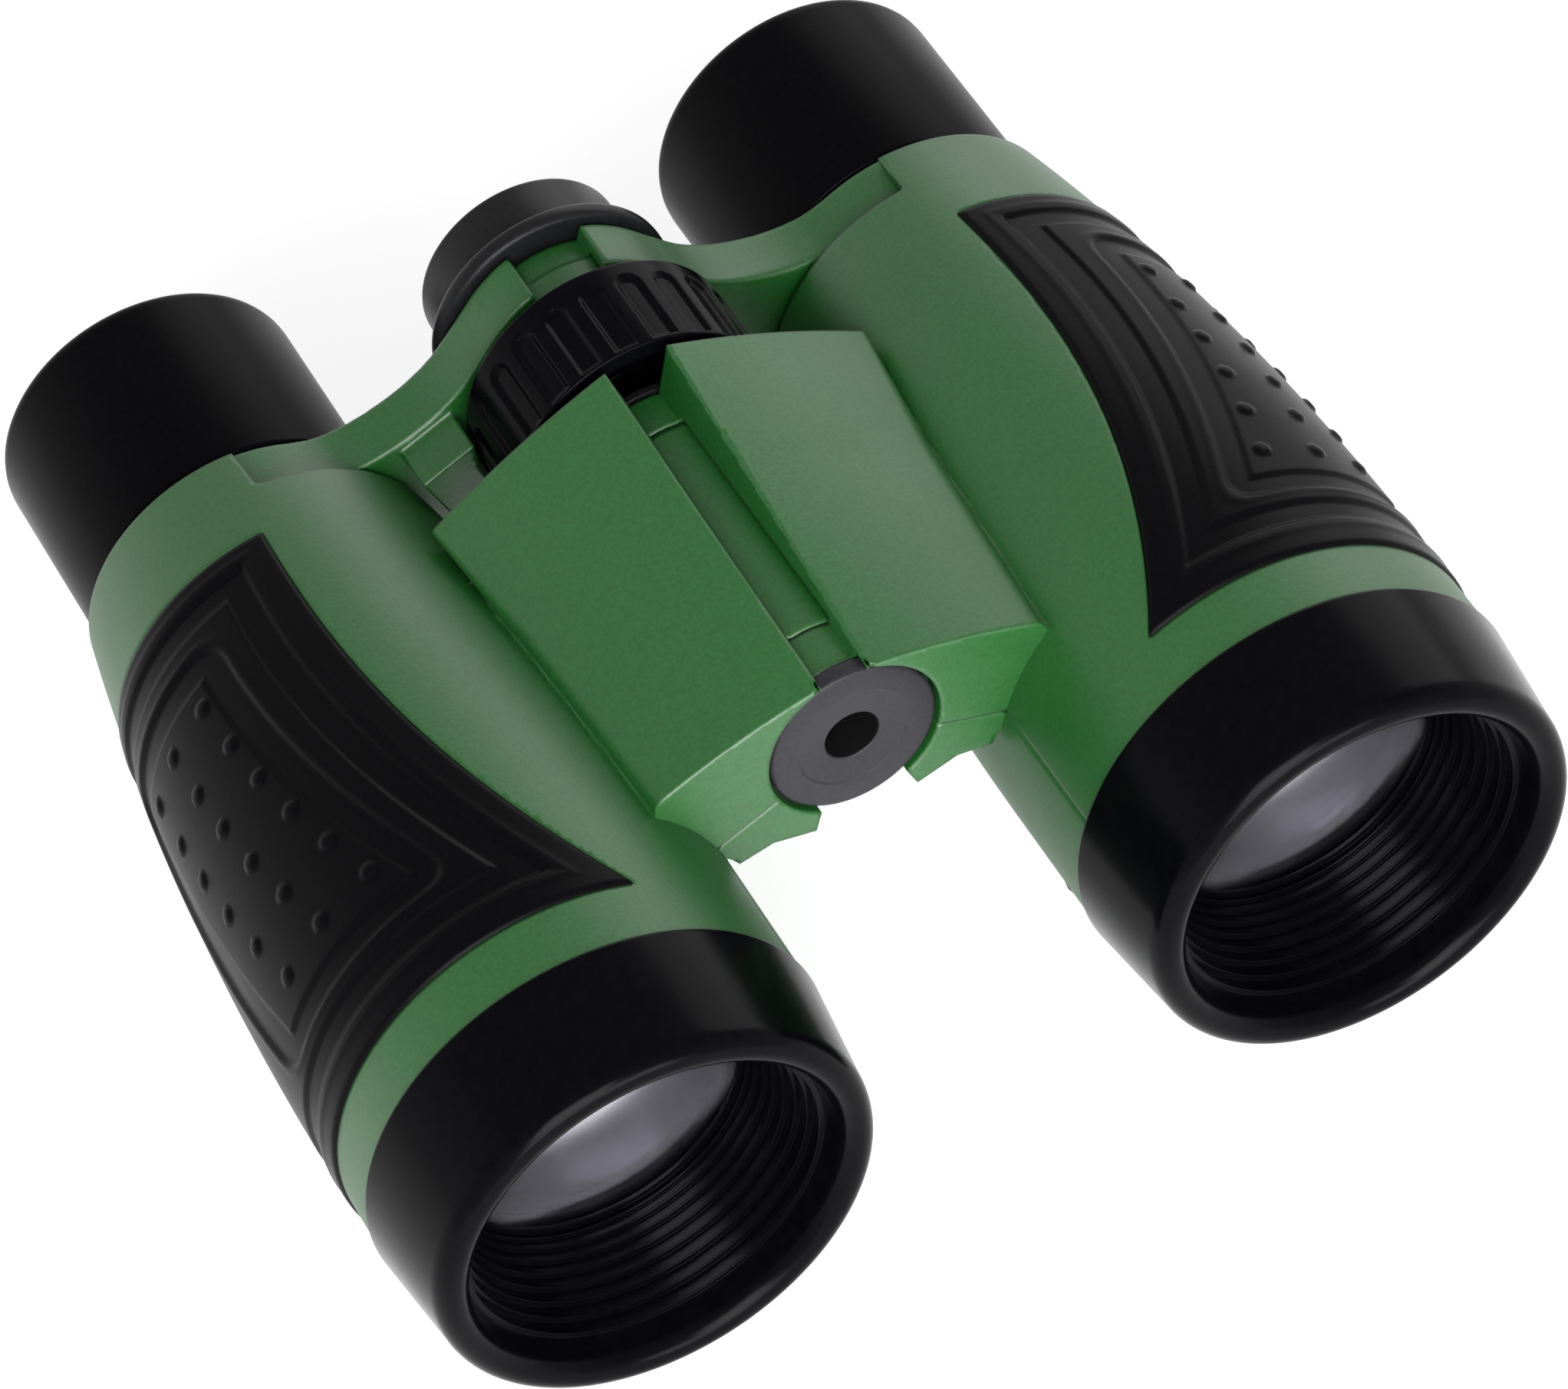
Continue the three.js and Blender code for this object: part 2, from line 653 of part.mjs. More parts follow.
function compassHousing() {
  const flangeRearY = compassFrontY - flangeThickness;
  const profile = [
    [0, dialFloorY],
    [cupBore, dialFloorY],
    [cupBore, compassRearY],
    [compassRadius - compassChamfer, compassRearY],
    [compassRadius, compassRearY + compassChamfer],
    [compassRadius, flangeRearY],
    [flangeRadius - flangeRound, flangeRearY],
    [flangeRadius, flangeRearY + flangeRound],
    [flangeRadius, compassFrontY - flangeRound],
    [flangeRadius - flangeRound, compassFrontY],
    [clipRadius + 2 * gap, compassFrontY],
    [clipRadius + 2 * gap, compassFrontY - clipHollow],
    [0, compassFrontY - clipHollow],
  ];
  return turned(profile, barrelSides);
}

const compassDial = () => rod(cupBore - gap, dialBackY, dialBackY - dialThickness);

function compassPivot() {
  const baseY = dialBackY - dialThickness - gap;
  const tipY = needleY + gap;
  return turned([[0, baseY], [pivotRadius, baseY], [pivotTipRadius, tipY], [0, tipY]]);
}

function compassNeedle() {
  const half = cupBore - needleRoom;
  const shape = new THREE.Shape();
  shape.moveTo(0, half);
  shape.lineTo(needleWidth / 2, 0);
  shape.lineTo(0, -half);
  shape.lineTo(-needleWidth / 2, 0);
  const boss = rod(pivotRadius, needleY, needleY - 2 * needleThickness);
  return alongY(shape, needleY, needleY - needleThickness).add(boss);
}

const coverRearY = compassRearY + coverRecess;
const compassCover = () => rod(cupBore - gap, coverRearY + coverThickness, coverRearY);

// ---------- materials ----------
const material = (color, roughness, metalness = 0) =>
  new THREE.MeshStandardMaterial({ color, roughness, metalness });

const greenPlastic = material(0x3c7a46, 0.45);
const blackGloss = material(0x0c0c0e, 0.22);
const blackSatin = material(0x121214, 0.45);
const capGrey = material(0x3a373c, 0.55);
const gripRubber = material(0x131317, 0.6);
const eyecupRubber = material(0x101012, 0.5);
const clearPlastic = material(0xb9bcc6, 0.05);
const steel = material(0x9a9ca0, 0.35, 1);
const brass = material(0xb08d4a, 0.35, 1);
const dialWhite = material(0xe9e8e2, 0.6);
const needleRed = material(0xb3261e, 0.4);

function mesh(name, made, look) {
  const part = new THREE.Mesh(geometryOf(made), look);
  part.name = name;
  return part;
}

// ---------- assembly ----------
function side(prefix, shell, arm) {
  const group = new THREE.Group();
  const halves = shellHalves(shell);
  group.add(
    mesh(`${prefix}_upper_shell`, halves.upper, greenPlastic),
    mesh(`${prefix}_lower_shell`, halves.lower, greenPlastic),
    mesh(`${prefix}_grip_pad`, padJacket(padInset, padProud, 0), gripRubber),
    mesh(`${prefix}_objective_hood`, objectiveHood(), blackGloss),
    mesh(
      `${prefix}_objective_lens`,
      convexLens(lensRadius, lensEdge, lensSag, lensFrontEdgeY, armLength),
      clearPlastic,
    ),
    mesh(`${prefix}_objective_retainer`, objectiveRetainer(), blackSatin),
    mesh(`${prefix}_eyepiece_arm`, arm, greenPlastic),
    mesh(`${prefix}_eyepiece_tube`, eyepieceTube(), blackSatin),
    mesh(`${prefix}_eyecup`, eyecup(), eyecupRubber),
    mesh(`${prefix}_eyepiece_lens`, eyepieceLens(), clearPlastic),
    mesh(`${prefix}_eyepiece_retainer`, eyepieceRetainer(), blackSatin),
    mesh(`${prefix}_arm_screw`, armScrew(), steel),
    mesh(`${prefix}_shell_screw_front`, shellScrew(shellScrewYs[0]), steel),
    mesh(`${prefix}_shell_screw_rear`, shellScrew(shellScrewYs[1]), steel),
  );
  return group;
}

const rightSide = side(
  "right",
  sideShell([middleSpan], outerSpans),
  eyepieceArm(frontRingSpan, frontRingRadius, rearRingSpan, rearRingRadius).add(armStub()),
);
rightSide.rotation.y = foldAngle;

const leftSide = side(
  "left",
  sideShell(outerSpans, [middleSpan]),
  eyepieceArm(rearRingSpan, rearRingRadius, frontRingSpan, frontRingRadius),
);
leftSide.scale.x = -1;
leftSide.rotation.y = -foldAngle;

const centre = new THREE.Group();
centre.add(
  mesh("front_cap", frontCap(), capGrey),
  mesh("hinge_sleeve", hingeSleeve(), brass),
  mesh("hinge_washer", hingeWasher(), blackSatin),
  mesh("focus_wheel", focusWheel(), blackGloss),
  mesh("focus_screw", focusScrew(), steel),
  mesh("screw_clip", screwClip(), steel),
  mesh("compass_housing", compassHousing(), blackSatin),
  mesh("compass_dial", compassDial(), dialWhite),
  mesh("compass_pivot", compassPivot(), brass),
  mesh("compass_needle", compassNeedle(), needleRed),
  mesh("compass_cover", compassCover(), clearPlastic),
);

// The origin: under the middle of the pair's box, on the ground that the barrels lie on.
const group = new THREE.Group();
group.add(rightSide, leftSide, centre);
const bounds = new THREE.Box3().setFromObject(group, true);
const middle = bounds.getCenter(new THREE.Vector3());
group.position.set(-middle.x, -middle.y, -bounds.min.z);

export default group;
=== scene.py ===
"""Looks of a pair of children's folding binoculars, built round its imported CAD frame.

Sizes are in millimetres. Each side is shaped in its own frame, as in the CAD source: the hinge
axis is the Y axis, local +x runs from the hinge to the barrel's axis and the shell halves part at
local z = 0. The right side hangs FOLD below flat, and the left side is its mirror image.
"""

import json
import math

import bpy
import numpy as np
from mathutils import Matrix, Vector


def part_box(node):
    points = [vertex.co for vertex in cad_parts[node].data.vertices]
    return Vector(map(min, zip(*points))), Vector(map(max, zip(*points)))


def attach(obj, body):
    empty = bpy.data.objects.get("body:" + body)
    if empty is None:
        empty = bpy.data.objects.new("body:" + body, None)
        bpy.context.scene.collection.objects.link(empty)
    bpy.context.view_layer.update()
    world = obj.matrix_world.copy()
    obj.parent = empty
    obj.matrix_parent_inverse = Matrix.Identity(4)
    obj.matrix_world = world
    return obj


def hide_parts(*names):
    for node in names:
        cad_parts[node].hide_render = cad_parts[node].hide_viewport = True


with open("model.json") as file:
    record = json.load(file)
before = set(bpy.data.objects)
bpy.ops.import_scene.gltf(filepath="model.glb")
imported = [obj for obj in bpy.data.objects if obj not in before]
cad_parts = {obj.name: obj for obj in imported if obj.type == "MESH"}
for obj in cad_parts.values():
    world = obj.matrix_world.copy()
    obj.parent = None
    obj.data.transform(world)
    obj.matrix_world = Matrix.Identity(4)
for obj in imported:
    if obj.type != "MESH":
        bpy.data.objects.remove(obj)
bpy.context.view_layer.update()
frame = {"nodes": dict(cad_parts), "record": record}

# ---------- driving sizes, as in the CAD source ----------
MM = 0.001
ARM = 35.9
FOLD = math.radians(21)
GAP = 0.3
PARTING = 0.12
PAD_SEAM = 0.1
PAD_LAP = 0.22
LIP_Y = 1.5
HOOD_REAR_Y = -11.1
LEDGE_Y = -11.7
PAD_FRONT_Y, PAD_REAR_Y = -17.0, -70.2
WING_FRONT_Y, WING_REAR_Y = -25.3, -63.5
SHELL_FRONT_Y, SHELL_REAR_Y = HOOD_REAR_Y - GAP, -82.2
NOTCH_Y = -76.6
BELLY_Y = -24.0
BELLY, COLLAR, COLLAR_BORE = 21.05, 15.7, 15.0
CAP, CAP_HOLE = 7.84, 2.5
SHELL_WALL = 1.8
APERTURE, MOUTH = 13.5, 16.9
HOOD_FRONT, HOOD_REAR = 20.2, 21.35
KNUCKLE, KNUCKLE_SEAT = 7.5, 8.15
SLEEVE_HOLE = 5.2
WHEEL, WHEEL_FRONT_Y, WHEEL_REAR_Y = 12.9, -64.5, -75.0
ARM_FRONT_Y, ARM_REAR_Y = -77.4, -83.0
ARM_MID_Y = (ARM_FRONT_Y + ARM_REAR_Y) / 2
HUB, OCULAR_RING, TUBE = 10.9, 14.7, 13.0
FRONT_RING, REAR_RING = 9.6, 9.2
EYECUP, EYECUP_REAR_Y = 14.55, -105.66
FLANGE, COMPASS = 11.75, 9.8
COMPASS_FRONT_Y = ARM_REAR_Y - GAP

# The hinge axis in the row's frame, from the boxes of the CAD wheel and front cap.
wheel_low, wheel_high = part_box("focus_wheel")
_, cap_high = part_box("front_cap")
HINGE = Vector((0, cap_high.y / MM - WING_FRONT_Y + GAP, (wheel_low.z + wheel_high.z) / 2 / MM))


# ---------- meshes ----------
def turned(points, side):
    """Points or directions of a side's own frame along the row's axes. Side 0 is the centre line."""
    x, y, z = np.asarray(points, float).T
    if side:
        c, s = math.cos(FOLD), math.sin(FOLD)
        x, z = side * (x * c + z * s), z * c - x * s
    return np.stack([x, y, z], 1)


def placed(points, side):
    """Points of a side's own frame in the row's frame, in metres."""
    return (turned(points, side) + np.array(HINGE)) * MM


def piece_from(name, points, faces, body, material):
    """A piece from points in the row's frame, in metres, that moves with a body."""
    mesh = bpy.data.meshes.new(name)
    mesh.from_pydata(points.tolist(), [], faces)
    mesh.materials.append(material)
    mesh.shade_smooth()
    piece = bpy.data.objects.new(name, mesh)
    bpy.context.scene.collection.objects.link(piece)
    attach(piece, body)
    return piece


def mesh_object(name, points, faces, side, body, material, smooth=30):
    """A piece from points in a side's own frame. Edges sharper than smooth degrees stay sharp."""
    if side < 0:
        faces = [tuple(reversed(f)) for f in faces]
    piece = piece_from(name, placed(points, side), faces, body, material)
    piece.data.set_sharp_from_angle(angle=math.radians(smooth))
    return piece


def grid_faces(rows, columns, wrap_rows=False, wrap_columns=True):
    """Quads between the neighbours of a grid of points, which may close on itself either way."""
    faces = []
    for i in range(rows if wrap_rows else rows - 1):
        for j in range(columns if wrap_columns else columns - 1):
            k, m = (i + 1) % rows, (j + 1) % columns
            faces.append((i * columns + j, k * columns + j, k * columns + m, i * columns + m))
    return faces


# A rounded corner takes up to this share of an edge, and is left sharp below the least size.
MOST_CUT = 0.45
LEAST_CUT = 1e-3
ON_AXIS = 1e-6


def rounded(profile, radius, steps=4):
    """A closed [r, y] profile with rounded corners. A corner's third entry is its own radius."""
    out = []
    count = len(profile)
    for i in range(count):
        here = np.array(profile[i][:2], float)
        before = np.array(profile[i - 1][:2], float)
        after = np.array(profile[(i + 1) % count][:2], float)
        own = profile[i][2] if len(profile[i]) > 2 else radius
        a, b = before - here, after - here
        la, lb = np.linalg.norm(a), np.linalg.norm(b)
        cut = min(own, MOST_CUT * la, MOST_CUT * lb)
        if here[0] < ON_AXIS or cut < LEAST_CUT:
            out.append(here)
            continue
        p, q = here + a / la * cut, here + b / lb * cut
        for t in np.linspace(0, 1, steps + 1):
            out.append((1 - t) ** 2 * p + 2 * t * (1 - t) * here + t * t * q)
    return np.array(out)


def lathe_object(name, profile, side, body, material, x=0.0, sides=160, change=None, smooth=30):
    """A closed profile of [r, y] points turned about the line at x. Change may alter its radius."""
    profile = np.asarray(profile, float)
    after = np.roll(profile, -1, 0)
    if np.sum(profile[:, 0] * after[:, 1] - after[:, 0] * profile[:, 1]) < 0:
        profile = profile[::-1]
    turn = np.linspace(0, 2 * math.pi, sides, endpoint=False)
    r, a = np.meshgrid(profile[:, 0], turn, indexing="ij")
    y = np.repeat(profile[:, 1:], sides, 1)
    if change is not None:
        r = change(r, a, y)
    points = np.stack([x + r * np.cos(a), y, r * np.sin(a)], -1).reshape(-1, 3)
    on_axis = [i for i in range(len(profile)) if profile[i, 0] < ON_AXIS]
    faces = grid_faces(len(profile), sides, wrap_rows=not on_axis)
    if on_axis:
        points, faces = close_poles(points, faces, on_axis, sides)
    return mesh_object(name, points, faces, side, body, material, smooth)


def close_poles(points, faces, on_axis, sides):
    """Draws each ring that lies on the axis together into one point."""
    first = {i * sides + j: i * sides for i in on_axis for j in range(sides)}
    drawn = []
    for face in faces:
        corners = [first.get(v, v) for v in face]
        kept = [v for n, v in enumerate(corners) if v != corners[n - 1]]
        if len(set(kept)) > 2:
            drawn.append(tuple(kept))
    used = sorted({v for face in drawn for v in face})
    index = {v: n for n, v in enumerate(used)}
    return points[used], [tuple(index[v] for v in face) for face in drawn]


# ---------- distance functions ----------
# A distance function takes x, y and z in millimetres and is below zero inside its piece.
def smooth_max(a, b, k):
    h = np.clip(0.5 + 0.5 * (a - b) / k, 0, 1)
    return b + (a - b) * h + k * h * (1 - h)


def smooth_min(a, b, k):
    return -smooth_max(-a, -b, k)


def slab(value, low, high):
    return np.maximum(low - value, value - high)


def slope(distance, points, step=0.02):
    out = np.zeros_like(points)
    for axis in range(3):
        shift = np.zeros(3)
        shift[axis] = step
        out[:, axis] = distance(*(points + shift).T) - distance(*(points - shift).T)
    return out / (2 * step)


# ---------- surfaces of distance functions ----------
BISECTIONS = 9
LEAST_NORMAL = 1e-6
# How strongly a vertex is held to the middle of its crossings, and how far it may leave it.
MIDDLE_PULL = 0.05
MOST_MOVE = 0.6
# The width over which edges look rounded, and how sharply a surface folds inwards at a crease.
SOFT_EDGE = 0.2
CREASE = -0.25
# A crease's normals are taken this share of the way from a quad's corner to its middle.
INTO_QUAD = 0.4


def crossings(distance, low, pitch, value, axis):
    """The places where the grid's edges along an axis pass through the surface, the four cells round
    each of them, and whether each edge starts outside."""
    inside = value < 0
    step = np.eye(3, dtype=int)
    last = [slice(None)] * 3
    first = [slice(None)] * 3
    last[axis], first[axis] = slice(1, None), slice(None, -1)
    edges = np.argwhere(inside[tuple(first)] != inside[tuple(last)])
    second, third = (axis + 1) % 3, (axis + 2) % 3
    clear = (edges[:, second] > 0) & (edges[:, third] > 0)
    edges = edges[clear & (edges < np.array(inside.shape) - 1).all(1)]
    starts_outside = value[tuple(edges.T)] >= 0
    near, far = np.zeros(len(edges)), np.ones(len(edges))
    for _ in range(BISECTIONS):
        half = (near + far) / 2
        places = low + pitch * (edges + half[:, None] * step[axis])
        same = (distance(*places.T) >= 0) == starts_outside
        near, far = np.where(same, half, near), np.where(same, far, half)
    one, two = step[second], step[third]
    ring = np.stack([edges - o for o in (0 * one, one, one + two, two)], 1)
    cells = np.ravel_multi_index(ring.reshape(-1, 3).T, inside.shape).reshape(-1, 4)
    return places, cells, starts_outside


def meeting_points(crossing, normal, quads, count, reach):
    """For each cell, the point where the planes through its crossings meet, near their middle."""
    corner, source = quads.ravel(), np.repeat(np.arange(len(quads)), 4)

    def gathered(weights):
        return np.bincount(corner, weights[source], count)

    mean = np.stack([gathered(c) for c in crossing.T], 1) / gathered(np.ones(len(quads)))[:, None]
    offset = (normal * crossing).sum(1)
    planes = np.array([[gathered(normal[:, i] * normal[:, k]) for k in range(3)] for i in range(3)])
    planes = planes.transpose(2, 0, 1)
    wanted = np.stack([gathered(normal[:, i] * offset) for i in range(3)], 1)
    wanted = wanted - np.einsum("nij,nj->ni", planes, mean)
    move = np.linalg.solve(planes + MIDDLE_PULL * np.eye(3), wanted[:, :, None])[:, :, 0]
    return mean + np.clip(move, -reach, reach)


def surface(distance, low, high, pitch):
    """Vertices and quads where distance is zero, with one vertex in each cell that it crosses. Edges
    stay straight and clean, because each vertex lies where the faces round it meet."""
    low = np.array(low, float)
    axes = [np.arange(a, b + pitch, pitch) for a, b in zip(low, high)]
    value = distance(*np.meshgrid(*axes, indexing="ij"))
    found = [crossings(distance, low, pitch, value, axis) for axis in range(3)]
    crossing, corners, flip = (np.concatenate(part) for part in zip(*found))
    normal = slope(distance, crossing)
    normal /= np.maximum(np.linalg.norm(normal, axis=1), LEAST_NORMAL)[:, None]
    cells, quads = np.unique(corners, return_inverse=True)
    quads = quads.reshape(-1, 4)
    points = meeting_points(crossing, normal, quads, len(cells), MOST_MOVE * pitch)
    quads[flip] = quads[flip][:, ::-1]
    return points, quads


def bend(distance, points, step):
    """Below zero where the surface folds inwards, as it does along a crease."""
    around = -6 * distance(*points.T)
    for shift in step * np.concatenate([np.eye(3), -np.eye(3)]):
        around += distance(*(points + shift).T)
    return around / step


def corner_normals(distance, points, quads):
    """A normal for each corner of each quad: soft over outward edges, the quad's own along a crease."""
    normal = slope(distance, points, SOFT_EDGE)[quads]
    creased = (bend(distance, points, SOFT_EDGE) < CREASE)[quads]
    towards = INTO_QUAD * points[quads].mean(1, keepdims=True) + (1 - INTO_QUAD) * points[quads]
    normal[creased] = slope(distance, towards[creased])
    return normal.reshape(-1, 3)


def shaped(name, distance, low, high, pitch, side, body, material):
    """The surface of a distance function as a piece, shaded by the function's slope."""
    points, quads = surface(distance, low, high, pitch)
    if side < 0:
        quads = quads[:, ::-1]
    piece = piece_from(name, placed(points, side), quads.tolist(), body, material)
    normal = turned(corner_normals(distance, points, quads), side)
    normal /= np.maximum(np.linalg.norm(normal, axis=1), LEAST_NORMAL)[:, None]
    piece.data.normals_split_custom_set(normal.tolist())
    return piece


# ---------- materials ----------
class Nodes:
    """A material's node tree with short calls to add and link nodes."""

    def __init__(self, name):
        self.material = bpy.data.materials.new(name)
        self.material.use_nodes = True
        self.tree = self.material.node_tree
        self.shader = self.tree.nodes["Principled BSDF"]
        self.place = self.add("ShaderNodeTexCoord").outputs["Object"]

    def add(self, kind, **inputs):
        node = self.tree.nodes.new(kind)
        for key, value in inputs.items():
            self.set(node, key.replace("_", " "), value)
        return node

    def set(self, node, key, value):
        socket = node.inputs[key]
        if isinstance(value, bpy.types.NodeSocket):
            self.tree.links.new(value, socket)
        else:
            socket.default_value = value

    def noise(self, scale, detail=2.0, roughness=0.5):
        sizes = {"Scale": scale, "Detail": detail, "Roughness": roughness}
        return self.add("ShaderNodeTexNoise", Vector=self.place, **sizes)

    def ramp(self, value, low, high, out_low, out_high):
        node = self.add("ShaderNodeMapRange", Value=value)
        ends = {"From Min": low, "From Max": high, "To Min": out_low, "To Max": out_high}
        for key, number in ends.items():
            node.inputs[key].default_value = number
        return node.outputs["Result"]

    def mix(self, factor, a, b):
        node = self.tree.nodes.new("ShaderNodeMix")
        node.data_type = "RGBA"
        for key, value in ((0, factor), (6, a), (7, b)):
            if isinstance(value, bpy.types.NodeSocket):
                self.tree.links.new(value, node.inputs[key])
            else:
                node.inputs[key].default_value = value
        return node.outputs[2]

    def math(self, operation, a, b=0.0):
        node = self.tree.nodes.new("ShaderNodeMath")
        node.operation = operation
        self.set(node, 0, a)
        self.set(node, 1, b)
        return node.outputs[0]

    def bump(self, height, strength, distance):
        node = self.add("ShaderNodeBump", Height=height, Strength=strength, Distance=distance)
        return node.outputs["Normal"]


def rgb(r, g, b):
    """An sRGB colour of 0 to 255 as a linear one."""
    def linear(v):
        v /= 255
        return v / 12.92 if v <= 0.04045 else ((v + 0.055) / 1.055) ** 2.4
    return (linear(r), linear(g), linear(b), 1)


GRAIN_BUMP = 0.35


def moulded(name, light, dark, roughness, grain, grain_depth, shine):
    """A moulded plastic or rubber: two tones in a fine grain, with rougher rubbed places."""
    n = Nodes(name)
    fine = n.noise(grain, 3, 0.6).outputs["Fac"]
    broad = n.noise(55, 3, 0.55).outputs["Fac"]
    n.set(n.shader, "Base Color", n.mix(n.ramp(fine, 0.25, 0.75, 0, 1), dark, light))
    n.set(n.shader, "Roughness", n.ramp(broad, 0.35, 0.65, roughness - 0.03, roughness + 0.03))
    n.set(n.shader, "Normal", n.bump(fine, GRAIN_BUMP, grain_depth))
    n.set(n.shader, "Specular IOR Level", shine)
    return n.material


def turned_metal(name, colour, roughness):
    """Bare metal with fine uneven marks."""
    n = Nodes(name)
    lines = n.noise(900, 2).outputs["Fac"]
    n.set(n.shader, "Base Color", n.mix(lines, colour, tuple(0.75 * c for c in colour[:3]) + (1,)))
    n.set(n.shader, "Metallic", 1.0)
    n.set(n.shader, "Roughness", n.ramp(lines, 0.3, 0.7, roughness - 0.08, roughness + 0.1))
    return n.material


def coated_glass(name, tint, mirror, mirror_colour):
    """Clear plastic whose coating mirrors part of the light, a little smeared."""
    n = Nodes(name)
    smear = n.noise(160, 2).outputs["Fac"]
    n.set(n.shader, "Base Color", tint)
    n.set(n.shader, "Transmission Weight", 1.0)
    n.set(n.shader, "IOR", 1.49)
    n.set(n.shader, "Roughness", n.ramp(smear, 0.3, 0.7, 0.0, 0.02))
    blur = n.ramp(smear, 0.3, 0.7, 0.15, 0.2)
    glossy = n.add("ShaderNodeBsdfGlossy", Color=mirror_colour, Roughness=blur)
    both = n.add("ShaderNodeMixShader")
    both.inputs[0].default_value = mirror
    n.tree.links.new(n.shader.outputs[0], both.inputs[1])
    n.tree.links.new(glossy.outputs[0], both.inputs[2])
    n.tree.links.new(both.outputs[0], n.tree.nodes["Material Output"].inputs["Surface"])
    return n.material


def off_axis(n):
    """The place across and up from the hinge axis, seen along it, in metres."""
    place = n.add("ShaderNodeSeparateXYZ", Vector=n.place)
    return place.outputs["X"], n.math("SUBTRACT", place.outputs["Z"], HINGE.z * MM)


def from_axis(n, across, up):
    """The distance from the hinge axis, in metres."""
    return n.math("SQRT", n.math("ADD", n.math("MULTIPLY", across, across), n.math("MULTIPLY", up, up)))


def between(n, value, low, high):
    """One where value is between low and high, and nought elsewhere."""
    return n.math("MULTIPLY", n.math("GREATER_THAN", value, low), n.math("LESS_THAN", value, high))


DIAL_RING = (6.35, 6.5)
TICK_END = 7.4


def dial_card():
    """A white card with a ring and a tick every ten degrees, longer at each quarter."""
    n = Nodes("dial_white")
    across, up = off_axis(n)
    radius = from_axis(n, across, up)
    turn = n.math("DIVIDE", n.math("ARCTAN2", up, across), 2 * math.pi)

    def ticks(count, share, low, high):
        part = n.math("FRACT", n.math("ADD", n.math("MULTIPLY", turn, count), 0.5))
        near = n.math("LESS_THAN", n.math("ABSOLUTE", n.math("SUBTRACT", part, 0.5)), share)
        return n.math("MULTIPLY", near, between(n, radius, low * MM, high * MM))

    ink = n.math("MAXIMUM", ticks(36, 0.1, 6.6, TICK_END), ticks(4, 0.02, 4.9, TICK_END))
    ink = n.math("MAXIMUM", ink, between(n, radius, DIAL_RING[0] * MM, DIAL_RING[1] * MM))
    card = n.mix(n.noise(1500, 2).outputs["Fac"], rgb(236, 233, 222), rgb(218, 214, 202))
    n.set(n.shader, "Base Color", n.mix(ink, card, rgb(30, 30, 34)))
    n.set(n.shader, "Roughness", 0.55)
    return n.material


def needle_paint():
    """Red on the half that points one way and white on the other, with a fine grain."""
    n = Nodes("needle_red")
    _, up = off_axis(n)
    grain = n.noise(1500, 2).outputs["Fac"]
    red = n.mix(grain, rgb(196, 32, 24), rgb(160, 20, 16))
    white = n.mix(grain, rgb(226, 226, 222), rgb(204, 204, 200))
    n.set(n.shader, "Base Color", n.mix(n.math("GREATER_THAN", up, 0.0), white, red))
    n.set(n.shader, "Roughness", 0.35)
    return n.material


def cap_plastic():
    """Grey plastic with a grain, with painted shade: near black inside the cap's hole, where its wall lies
    in shadow.
    """
    n = Nodes("cap_grey")
    across, up = off_axis(n)
    # Painted shade: the wall of the cap's hole is coloured near black and made rougher, as if deep in
    # shadow.
    hole_painted_shade = n.math("LESS_THAN", from_axis(n, across, up), (CAP_HOLE + 0.05) * MM)
    grain = n.noise(2400, 3, 0.6).outputs["Fac"]
    plastic = n.mix(n.ramp(grain, 0.25, 0.75, 0, 1), rgb(36, 35, 40), rgb(48, 47, 52))
    n.set(n.shader, "Base Color", n.mix(hole_painted_shade, plastic, rgb(3, 3, 4)))
    n.set(n.shader, "Specular IOR Level", 0.24)
    roughness = n.ramp(grain, 0.35, 0.65, 0.4, 0.46)
    n.set(n.shader, "Roughness", n.math("ADD", roughness, n.math("MULTIPLY", hole_painted_shade, 0.4)))
    n.set(n.shader, "Normal", n.bump(grain, GRAIN_BUMP, 0.00003))
    return n.material


# Light tone, dark tone, roughness, grain per metre, grain depth in metres and specular level.
MOULDED = {
    "green_plastic": (rgb(24, 94, 30), rgb(12, 74, 18), 0.46, 2600, 0.00005, 0.9),
    "gloss_black": (rgb(8, 7, 10), rgb(4, 4, 6), 0.2, 900, 0.00001, 0.055),
    "satin_black": (rgb(30, 30, 32), rgb(20, 20, 22), 0.36, 1800, 0.00002, 0.16),
    "grip_rubber": (rgb(9, 9, 11), rgb(4, 4, 6), 0.36, 3000, 0.00003, 0.06),
    "eyecup_rubber": (rgb(9, 9, 11), rgb(4, 4, 6), 0.3, 1500, 0.00002, 0.035),
}
SLOT_MATERIALS = {slot: moulded(slot, *look) for slot, look in MOULDED.items()}
SLOT_MATERIALS["cap_grey"] = cap_plastic()
SLOT_MATERIALS["dial_white"] = dial_card()
SLOT_MATERIALS["needle_red"] = needle_paint()
SLOT_MATERIALS["steel"] = turned_metal("steel", rgb(190, 190, 192), 0.3)
SLOT_MATERIALS["brass"] = turned_metal("brass", rgb(196, 160, 92), 0.32)
SLOT_MATERIALS["lens_glass"] = coated_glass(
    "lens_glass", (0.92, 0.93, 0.95, 1), 0.62, rgb(222, 220, 230)
)
SLOT_MATERIALS["clear_cover"] = coated_glass(
    "clear_cover", (0.97, 0.98, 0.98, 1), 0.04, rgb(230, 230, 232)
)
SLOTS = {row["node"]: row["material_slot"] for row in frame["record"]["subparts"]}
CAD_SHARP_ANGLE = math.radians(35)


def paint_cad_nodes():
    """Gives each CAD node its slot's material and its smooth shading."""
    for name, slot in SLOTS.items():
        node = frame["nodes"][name]
        node.data.materials.clear()
        node.data.materials.append(SLOT_MATERIALS[slot])
        node.data.shade_smooth()
        node.data.set_sharp_from_angle(angle=CAD_SHARP_ANGLE)


def material_of(node):
    return SLOT_MATERIALS[SLOTS[node]]


def takes_over(node):
    """Hides a CAD node, whose place a piece made in the node's own material takes."""
    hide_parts(node)


